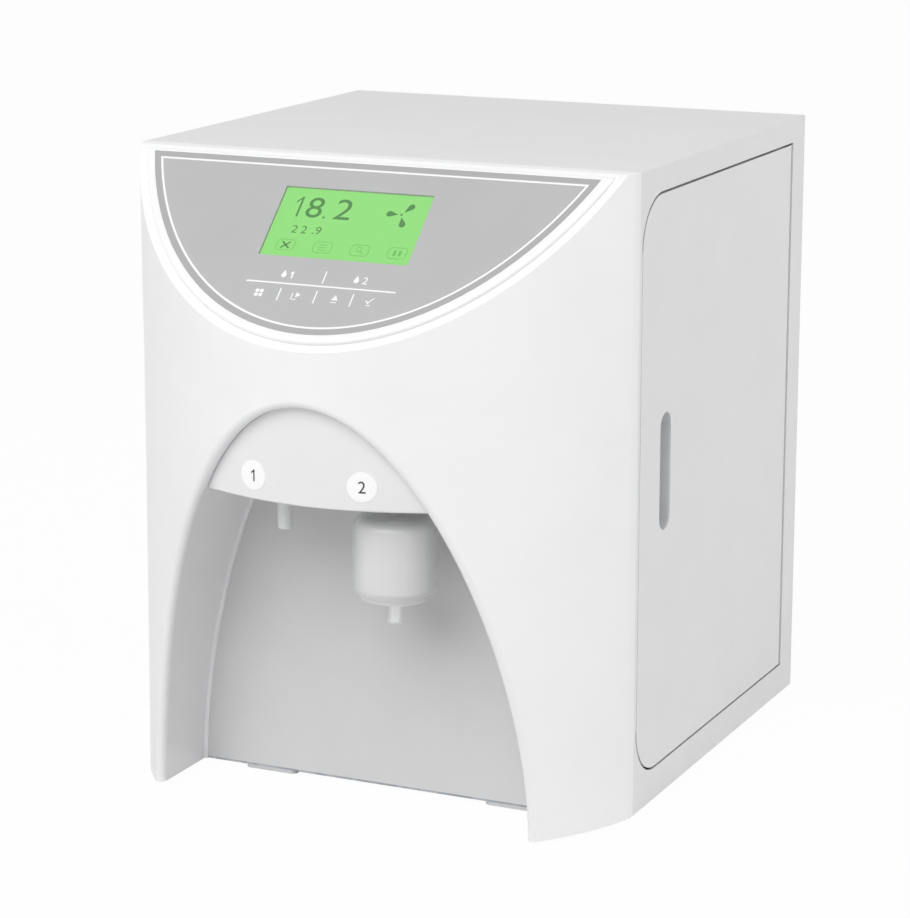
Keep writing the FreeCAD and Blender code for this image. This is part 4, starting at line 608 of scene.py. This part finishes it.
for side, figure in ((-1, "1"), (1, "2")):
    left = side * keys["pitch"] + keys["figure"] * keys["figureLeftShare"]
    right = left + keys["figure"] * keys["figureWideShares"][figure]
    span = (left, -keys["upperDrop"] - high, right, -keys["upperDrop"] + high)
    addFigure("keyFigure" + figure, figure, span, keys["figureLine"], panelPlace, printed)
print("panel printed")

# Display: a lit face and its figures, in the gap behind the clear window. The rows give each figure
# with its left and right, and like the heights of their lines these are in millimetres.

display = {
    "width": 109.2 * mm, "height": 57.5 * mm, "top": 30.0 * mm, "faceDrop": 1.25 * mm,
    "faceDepth": 0.04 * mm, "figureDepth": 0.02 * mm, "margin": 0.4 * mm,
    "reading": [("1", -43.2, -38.6), ("8", -33.9, -22.2), (".", -20.1, -18.4), ("2", -12.8, -0.6)],
    "readingLow": -54.0, "readingHigh": -37.2, "readingLine": 1.5 * mm, "dotHigh": -52.3,
    "second": [("2", -38.6, -34.5), ("2", -31.6, -27.5), (".", -23.0, -21.8), ("9", -21.0, -17.0)],
    "secondLow": -67.4, "secondHigh": -61.2, "secondDotHigh": -66.3,
    "fanAt": (35.7 * mm, -46.3 * mm), "bladeTurns": (52, 179, 292), "bladeReach": 6.4 * mm,
    "bladeRound": 2.3 * mm, "bladePlace": 8.6 * mm, "hubRadius": 0.9 * mm, "corner": 0.6 * mm,
    "boxDrop": 77.6 * mm, "boxFirst": -38.4 * mm, "boxPitch": 27.3 * mm, "boxWidth": 13.8 * mm,
    "boxHeight": 9.4 * mm, "boxCorner": 3.0 * mm, "boxLine": 0.55 * mm,
    "crossHalf": (3.0 * mm, 2.6 * mm), "crossLine": 1.2 * mm, "rowHalf": 3.2 * mm, "rowPitch": 2.1 * mm,
    "lensAt": (-0.6 * mm, 0.8 * mm), "lensRadius": 2.1 * mm,
    "lensGrip": ((1.0 * mm, -0.8 * mm), (2.8 * mm, -2.8 * mm)),
    "barPlace": 1.9 * mm, "barWidth": 2.2 * mm, "barHeight": 4.6 * mm,
    "face": {"color": (130, 214, 103), "tone": 0.015, "rough": 0.5, "glow": 0.55, "grain": 2400.0},
    "figures": {"color": (52, 122, 42), "tone": 0.04, "rough": 0.5, "glow": 0.12, "grain": 2400.0},
    "faintFigures": {"color": (98, 184, 80), "tone": 0.04, "rough": 0.5, "glow": 0.3, "grain": 2400.0},
}

faceInk = makeFinish("displayFace", display["face"])
figureInk = makeFinish("displayFigures", display["figures"])
litFace = {"ink": faceInk, "slot": "display_glass", "body": "housing",
           "lift": -display["faceDrop"], "depth": display["faceDepth"]}
litFigures = {**litFace, "ink": figureInk, "lift": -display["faceDrop"] + display["faceDepth"],
              "depth": display["figureDepth"]}
addMark("displayFace", outlineCurve([boxOutline(
    (0.0, -display["top"] - display["height"] / 2), display["width"] - display["margin"],
    display["height"] - display["margin"], display["corner"])]), panelPlace, litFace)


def addReading(name, row, low, high, dotHigh):
    for step, (figure, left, right) in enumerate(row):
        top = dotHigh if figure == "." else high
        span = [part * mm for part in (left, low, right, top)]
        addFigure(name + str(step + 1), figure, span, display["readingLine"], panelPlace, litFigures)


addReading("displayReading", display["reading"], display["readingLow"], display["readingHigh"],
           display["dotHigh"])
addReading("displaySecond", display["second"], display["secondLow"], display["secondHigh"],
           display["secondDotHigh"])

pictograms, faint = [], []
fanX, fanY = display["fanAt"]
for turn in display["bladeTurns"]:
    away = (fanX + display["bladePlace"] * math.cos(math.radians(turn)),
            fanY + display["bladePlace"] * math.sin(math.radians(turn)))
    pictograms.append(dropOutline(away, display["bladeRound"], display["bladeReach"], turn + 180))
pictograms.append(ringOutlines(display["fanAt"], display["hubRadius"], 0.0)[0])

line = display["boxLine"]
boxPlaces = [(display["boxFirst"] + step * display["boxPitch"], -display["boxDrop"]) for step in range(4)]
for centre in boxPlaces:
    for shrink in (0.0, line):
        faint.append(boxOutline(centre, display["boxWidth"] - 2 * shrink,
                                display["boxHeight"] - 2 * shrink, display["boxCorner"] - shrink))

x, y = boxPlaces[0]
crossX, crossY = display["crossHalf"]
pictograms.append(strokeOutline([(x - crossX, y - crossY), (x + crossX, y + crossY)], display["crossLine"]))
crossStroke = strokeOutline([(x - crossX, y + crossY), (x + crossX, y - crossY)], display["crossLine"])

x, y = boxPlaces[1]
for row in (-1, 0, 1):
    rowY = y + row * display["rowPitch"]
    faint.append(strokeOutline([(x - display["rowHalf"], rowY), (x + display["rowHalf"], rowY)], line))

x, y = boxPlaces[2]
faint += ringOutlines((x + display["lensAt"][0], y + display["lensAt"][1]), display["lensRadius"], line)
faint.append(strokeOutline([(x + across, y + up) for across, up in display["lensGrip"]], line))

x, y = boxPlaces[3]
faint += [boxOutline((x + side * display["barPlace"], y), display["barWidth"], display["barHeight"])
          for side in (-1, 1)]

addMark("displayPictograms", outlineCurve(pictograms), panelPlace, litFigures)
addMark("displayBoxes", outlineCurve(faint), panelPlace,
        {**litFigures, "ink": makeFinish("displayFaint", display["faintFigures"])})
addMark("displayCross", outlineCurve([crossStroke]), panelPlace, litFigures)
print("display lit")

# Dispensing head: the figures on its two round labels

labels = {
    "radius": 190.9 * mm, "centreY": -35.6 * mm, "thickness": 0.3 * mm, "x": 40.0 * mm, "z": 243.9 * mm,
    "figure": 8.0 * mm, "figureHalves": {"1": 1.4 * mm, "2": 2.5 * mm}, "line": 1.1 * mm,
    "lift": 0.05 * mm, "depth": 0.04 * mm,
    "ink": {"color": (58, 58, 60), "tone": 0.05, "rough": 0.5, "grain": 2000.0},
}
labelInk = makeFinish("labelInk", labels["ink"])


def headPlace(side):
    reach = labels["radius"] + labels["thickness"]
    start = math.asin(side * labels["x"] / labels["radius"])

    def place(across, up, out):
        turn = start + across / reach
        y = labels["centreY"] - (reach + out) * math.cos(turn)
        return Vector(((reach + out) * math.sin(turn), y, labels["z"] + up))
    return place


labelMark = {"ink": labelInk, "slot": "label_film", "body": "housing", "lift": labels["lift"],
             "depth": labels["depth"]}
for side, figure in ((-1, "1"), (1, "2")):
    half, high = labels["figureHalves"][figure], labels["figure"] / 2
    addFigure("labelFigure" + figure, figure, (-half, -high, half, high), labels["line"],
              headPlace(side), labelMark)
print("labels numbered")

# Filter capsule: the end discs of its pleats and the nozzle inside its tip; the nozzle glows, painted light
# that stands in for light carried down the clear tip

capsule = {
    "discRadius": 23.4 * mm, "discHeight": 2.2 * mm, "discLap": 0.6 * mm, "stemRadius": 8.0 * mm,
    "nozzleInner": 2.2 * mm, "nozzleOuter": 3.15 * mm, "nozzleHigh": 18.0 * mm, "flareRadius": 7.0 * mm,
    "flareHeight": 1.6 * mm, "edge": 0.5 * mm,
    "disc": {"color": (232, 232, 231), "tone": 0.03, "rough": 0.5, "grain": 900.0},
    # the nozzle's glow is painted light that makes it show bright through the clear tip
    "nozzle": {"color": (252, 252, 252), "tone": 0.01, "rough": 0.35, "grain": 700.0, "glow": 0.75},
}

pleatLow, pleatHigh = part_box("capsule_membrane")
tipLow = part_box("capsule_shell")[0].z
capsuleMiddle = (pleatLow + pleatHigh) / 2
capsuleFoot = Vector((capsuleMiddle.x, capsuleMiddle.y, 0))
discs = []
for low in (pleatHigh.z - capsule["discLap"], pleatLow.z + capsule["discLap"] - capsule["discHeight"]):
    discs.append(turnedShape(ringProfile(capsule["stemRadius"], capsule["discRadius"], low,
                                         low + capsule["discHeight"], capsule["edge"]), capsuleFoot))
addSolid("pleatDiscs", discs, {"ink": makeFinish("pleatDisc", capsule["disc"]), "slot": "capsule_pleats",
                               "body": "housing"})
nozzleLow, nozzleTop = tipLow + capsule["edge"], tipLow + capsule["nozzleHigh"]
nozzleProfile = [
    (capsule["nozzleInner"], nozzleLow), (capsule["nozzleOuter"], nozzleLow),
    (capsule["nozzleOuter"], nozzleTop - capsule["flareHeight"]), (capsule["flareRadius"], nozzleTop),
    (capsule["nozzleInner"], nozzleTop)]
addSolid("capsuleNozzle", [turnedShape(nozzleProfile, capsuleFoot)],
         {"ink": makeFinish("nozzlePaintedGlow", capsule["nozzle"]), "slot": "outlet_plastic",
          "body": "housing"})
print("capsule filled")

# Side door: a soft seal on its front edge, and a strip in the gap behind its hinge edge

seals = {
    "frontThick": 1.3 * mm, "frontFrom": 5.5 * mm, "frontTo": 0.35 * mm, "cornerHold": 34.0 * mm,
    "hingeGap": 4.5 * mm, "hingeThick": 3.1 * mm, "hingeFrom": 7.0 * mm, "hingeTo": 1.4 * mm,
    "rounding": 0.3 * mm,
    "frontLook": {"color": (240, 240, 241), "tone": 0.01, "rough": 0.6, "grain": 900.0},
    "hingeLook": {"color": (224, 224, 225), "tone": 0.02, "rough": 0.6, "grain": 900.0},
}

doorLow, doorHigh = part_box("side_door")
sealLow = (doorHigh.x - seals["frontFrom"], doorLow.y - seals["frontThick"],
           doorLow.z + seals["cornerHold"])
sealHigh = (doorHigh.x - seals["frontTo"], doorLow.y, doorHigh.z - seals["cornerHold"])
addSolid("doorSeal", [blockShape(sealLow, sealHigh)],
         {"ink": makeFinish("sealWhite", seals["frontLook"]), "slot": "housing_white", "body": "door"},
         seals["rounding"])
gapBack = doorHigh.y + seals["hingeGap"]
stripLow = (doorHigh.x - seals["hingeFrom"], gapBack - seals["hingeThick"], doorLow.z)
stripHigh = (doorHigh.x - seals["hingeTo"], gapBack, doorHigh.z)
addSolid("hingeStrip", [blockShape(stripLow, stripHigh)],
         {"ink": makeFinish("stripGrey", seals["hingeLook"]), "slot": "housing_white",
          "body": "housing"}, seals["rounding"])
print("door sealed")

# Filter cartridges: a printed band round each, with its number and an arrow up

bands = {
    "nodes": ("sediment_cartridge", "carbon_cartridge", "polishing_cartridge"), "low": 128.0 * mm,
    "high": 232.0 * mm, "thickness": 0.25 * mm, "stripeThickness": 0.35 * mm, "sweep": 230.0,
    "figureHigh": 26.0 * mm, "figureWide": (9.0 * mm, 15.0 * mm, 15.0 * mm), "figureLine": 4.2 * mm,
    "figureRise": 52.0 * mm, "arrowWide": 16.0 * mm, "arrowHigh": 12.0 * mm, "arrowNotch": 4.8 * mm,
    "arrowRise": 84.0 * mm, "stripeHigh": 8.0 * mm, "lift": 0.35 * mm, "depth": 0.05 * mm,
    "slice": 1.0 * mm,
    "ground": {"color": (226, 230, 236), "tone": 0.015, "rough": 0.35, "grain": 1800.0,
               "grainHeight": 0.01},
    "tones": ({"color": (64, 128, 188), "rough": 0.35, "tone": 0.03, "grain": 1800.0},
              {"color": (70, 76, 84), "rough": 0.35, "tone": 0.03, "grain": 1800.0},
              {"color": (52, 146, 112), "rough": 0.35, "tone": 0.03, "grain": 1800.0}),
}

bandGround = makeFinish("bandGround", bands["ground"])


def vesselPlace(middle, radius, base):
    def place(across, up, out):
        turn, reach = across / radius, radius + out
        return Vector((middle.x + reach * math.cos(turn), middle.y + reach * math.sin(turn), base + up))
    return place


for step, node in enumerate(bands["nodes"]):
    vesselLow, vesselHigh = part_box(node)
    middle = (vesselLow + vesselHigh) / 2
    radius = (vesselHigh.x - vesselLow.x) / 2
    foot = Vector((middle.x, middle.y, 0))
    ink = makeFinish("bandTone" + str(step + 1), bands["tones"][step])
    number = str(step + 1)
    look = {"ink": bandGround, "slot": "cartridge_white", "body": "housing"}
    around = {"sweep": bands["sweep"], "start": -bands["sweep"] / 2}
    ground = ringProfile(radius, radius + bands["thickness"], bands["low"], bands["high"])
    addSolid("bandGround" + number, [turnedShape(ground, foot, **around)], look)
    stripes = []
    for low in (bands["low"], bands["high"] - bands["stripeHigh"]):
        stripe = ringProfile(radius, radius + bands["stripeThickness"], low, low + bands["stripeHigh"])
        stripes.append(turnedShape(stripe, foot, **around))
    addSolid("bandStripes" + number, stripes, {**look, "ink": ink})
    place = vesselPlace(middle, radius, bands["low"])
    mark = {**look, "ink": ink, "lift": bands["lift"], "depth": bands["depth"],
            "slice": bands["slice"]}
    wide = bands["figureWide"][step] / 2
    low = bands["figureRise"] - bands["figureHigh"] / 2
    addFigure("bandFigure" + number, number, (-wide, low, wide, low + bands["figureHigh"]),
              bands["figureLine"], place, mark)
    half, arrowLow = bands["arrowWide"] / 2, bands["arrowRise"] - bands["arrowHigh"]
    arrow = [(-half, arrowLow), (0, arrowLow + bands["arrowNotch"]), (half, arrowLow),
             (0, bands["arrowRise"])]
    addMark("bandArrow" + number, outlineCurve([arrow]), place, mark)
print("cartridges banded")

# Hose collars: a ribbed nut where each hose enters the manifold

collars = {
    "inner": 6.05 * mm, "outer": 8.2 * mm, "rib": 0.5 * mm, "ribEdge": 0.1 * mm, "ribs": 20,
    "ribSweep": 8.0, "high": 6.0 * mm, "drop": 1.0 * mm, "spread": 15.0 * mm,
    "look": {"color": (62, 62, 64), "tone": 0.06, "rough": 0.45, "grain": 1200.0, "grainHeight": 0.04},
}

rib = collars["rib"]
nutProfile = ringProfile(collars["inner"], collars["outer"], 0, collars["high"], rib)
ribProfile = ringProfile(collars["outer"] - rib, collars["outer"] + rib, rib, collars["high"] - rib,
                         collars["ribEdge"])
collarShapes = []
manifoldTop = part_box("filter_manifold")[1].z
for node in bands["nodes"]:
    vesselLow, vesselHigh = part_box(node)
    middle = (vesselLow + vesselHigh) / 2
    for side in (-1, 1):
        centre = Vector((middle.x + side * collars["spread"], middle.y,
                         manifoldTop - collars["drop"] - collars["high"]))
        collarShapes.append(turnedShape(nutProfile, centre))
        for step in range(collars["ribs"]):
            collarShapes.append(turnedShape(ribProfile, centre, steps=2, sweep=collars["ribSweep"],
                                            start=step * 360 / collars["ribs"]))
addSolid("manifoldCollars", collarShapes, {"ink": makeFinish("collarDark", collars["look"]),
                                           "slot": "manifold_black", "body": "housing"})
print("collars on")

# Back of the unit: lock clips on the tube ports, plain port numbers, a filter pad behind the vents

rear = {
    "portX": (-20.0 * mm, 10.0 * mm, 40.0 * mm), "portZ": 80.5 * mm, "panelY": 223.0 * mm,
    "clipLow": 4.3 * mm, "clipHigh": 6.1 * mm, "clipInner": 8.6 * mm, "clipOuter": 9.9 * mm,
    "clipEdge": 0.3 * mm, "clipSweep": 300.0, "figureHigh": 7.0 * mm,
    "figureWide": (2.6 * mm, 4.6 * mm, 4.6 * mm), "padEdge": 0.5 * mm,
    "figureLine": 1.1 * mm, "figureRise": 18.0 * mm, "lift": 0.02 * mm, "depth": 0.05 * mm,
    "padLow": (-132.0 * mm, 219.6 * mm, 274.0 * mm), "padHigh": (-58.0 * mm, 221.4 * mm, 371.0 * mm),
    "clips": ({"color": (52, 108, 186), "rough": 0.35, "grain": 1200.0},
              {"color": (232, 232, 230), "rough": 0.35, "grain": 1200.0},
              {"color": (190, 52, 46), "rough": 0.35, "grain": 1200.0}),
    "ink": {"color": (70, 72, 76), "tone": 0.03, "rough": 0.5, "grain": 1800.0},
    "pad": {"color": (44, 45, 47), "tone": 0.3, "pattern": "cells", "grain": 900.0, "rough": 0.9,
            "grainHeight": 0.5},
}


def rearPlace(x, z):
    def place(across, up, out):
        return Vector((x - across, rear["panelY"] + out, z + up))
    return place


rearMark = {"ink": makeFinish("rearInk", rear["ink"]), "slot": "housing_white", "body": "housing",
            "lift": rear["lift"], "depth": rear["depth"]}
clipProfile = ringProfile(rear["clipInner"], rear["clipOuter"], rear["clipLow"], rear["clipHigh"],
                          rear["clipEdge"])
for step, x in enumerate(rear["portX"]):
    number = str(step + 1)
    clip = turnedShape(clipProfile, (x, rear["panelY"], rear["portZ"]), (0, 1, 0),
                       sweep=rear["clipSweep"], start=(360 - rear["clipSweep"]) / 2)
    addSolid("portClip" + number, [clip],
             {"ink": makeFinish("clipTone" + number, rear["clips"][step]), "slot": "port_grey",
              "body": "housing"})
    wide, high = rear["figureWide"][step] / 2, rear["figureHigh"] / 2
    addFigure("portFigure" + number, number, (-wide, -high, wide, high), rear["figureLine"],
              rearPlace(x, rear["portZ"] + rear["figureRise"]), rearMark)
addSolid("ventPad", [blockShape(rear["padLow"], rear["padHigh"])],
         {"ink": makeFinish("ventFoam", rear["pad"]), "slot": "clip_black", "body": "housing"},
         rear["padEdge"])
print("back of the unit finished")

# Power switch: a bar on the half to press for on, a ring on the half to press for off

rocker = {
    "x": -140.0 * mm, "axisY": 220.0 * mm, "axisZ": 112.5 * mm, "tilt": 9.0, "trough": 6.0,
    "faceOut": 4.5 * mm, "faceAlong": 4.75 * mm, "bar": (0.9 * mm, 4.2 * mm), "ring": 2.2 * mm,
    "ringLine": 0.6 * mm, "lift": 0.02 * mm, "depth": 0.05 * mm,
    "ink": {"color": (236, 236, 236), "rough": 0.5, "tone": 0.01, "grain": 1600.0},
}


def rockerPlace(side):
    # side is 1 for the upper half, -1 for the lower half
    lean = math.radians(rocker["tilt"])
    turn = math.radians(rocker["tilt"] - side * rocker["trough"])
    along = Vector((0, -math.sin(turn), math.cos(turn)))
    outward = Vector((0, math.cos(turn), math.sin(turn)))
    y, z = rocker["faceOut"], side * rocker["faceAlong"]
    start = Vector((rocker["x"], rocker["axisY"] + y * math.cos(lean) - z * math.sin(lean),
                    rocker["axisZ"] + y * math.sin(lean) + z * math.cos(lean)))

    def place(across, up, out):
        return start - Vector((across, 0, 0)) + along * up + outward * out
    return place


rockerMark = {"ink": makeFinish("rockerInk", rocker["ink"]), "slot": "rocker_black", "body": "rocker",
              "lift": rocker["lift"], "depth": rocker["depth"]}
addMark("rockerBar", outlineCurve([boxOutline((0, 0), *rocker["bar"])]), rockerPlace(-1), rockerMark)
addMark("rockerRing", outlineCurve(ringOutlines((0, 0), rocker["ring"], rocker["ringLine"])),
        rockerPlace(1), rockerMark)
print("switch marked")
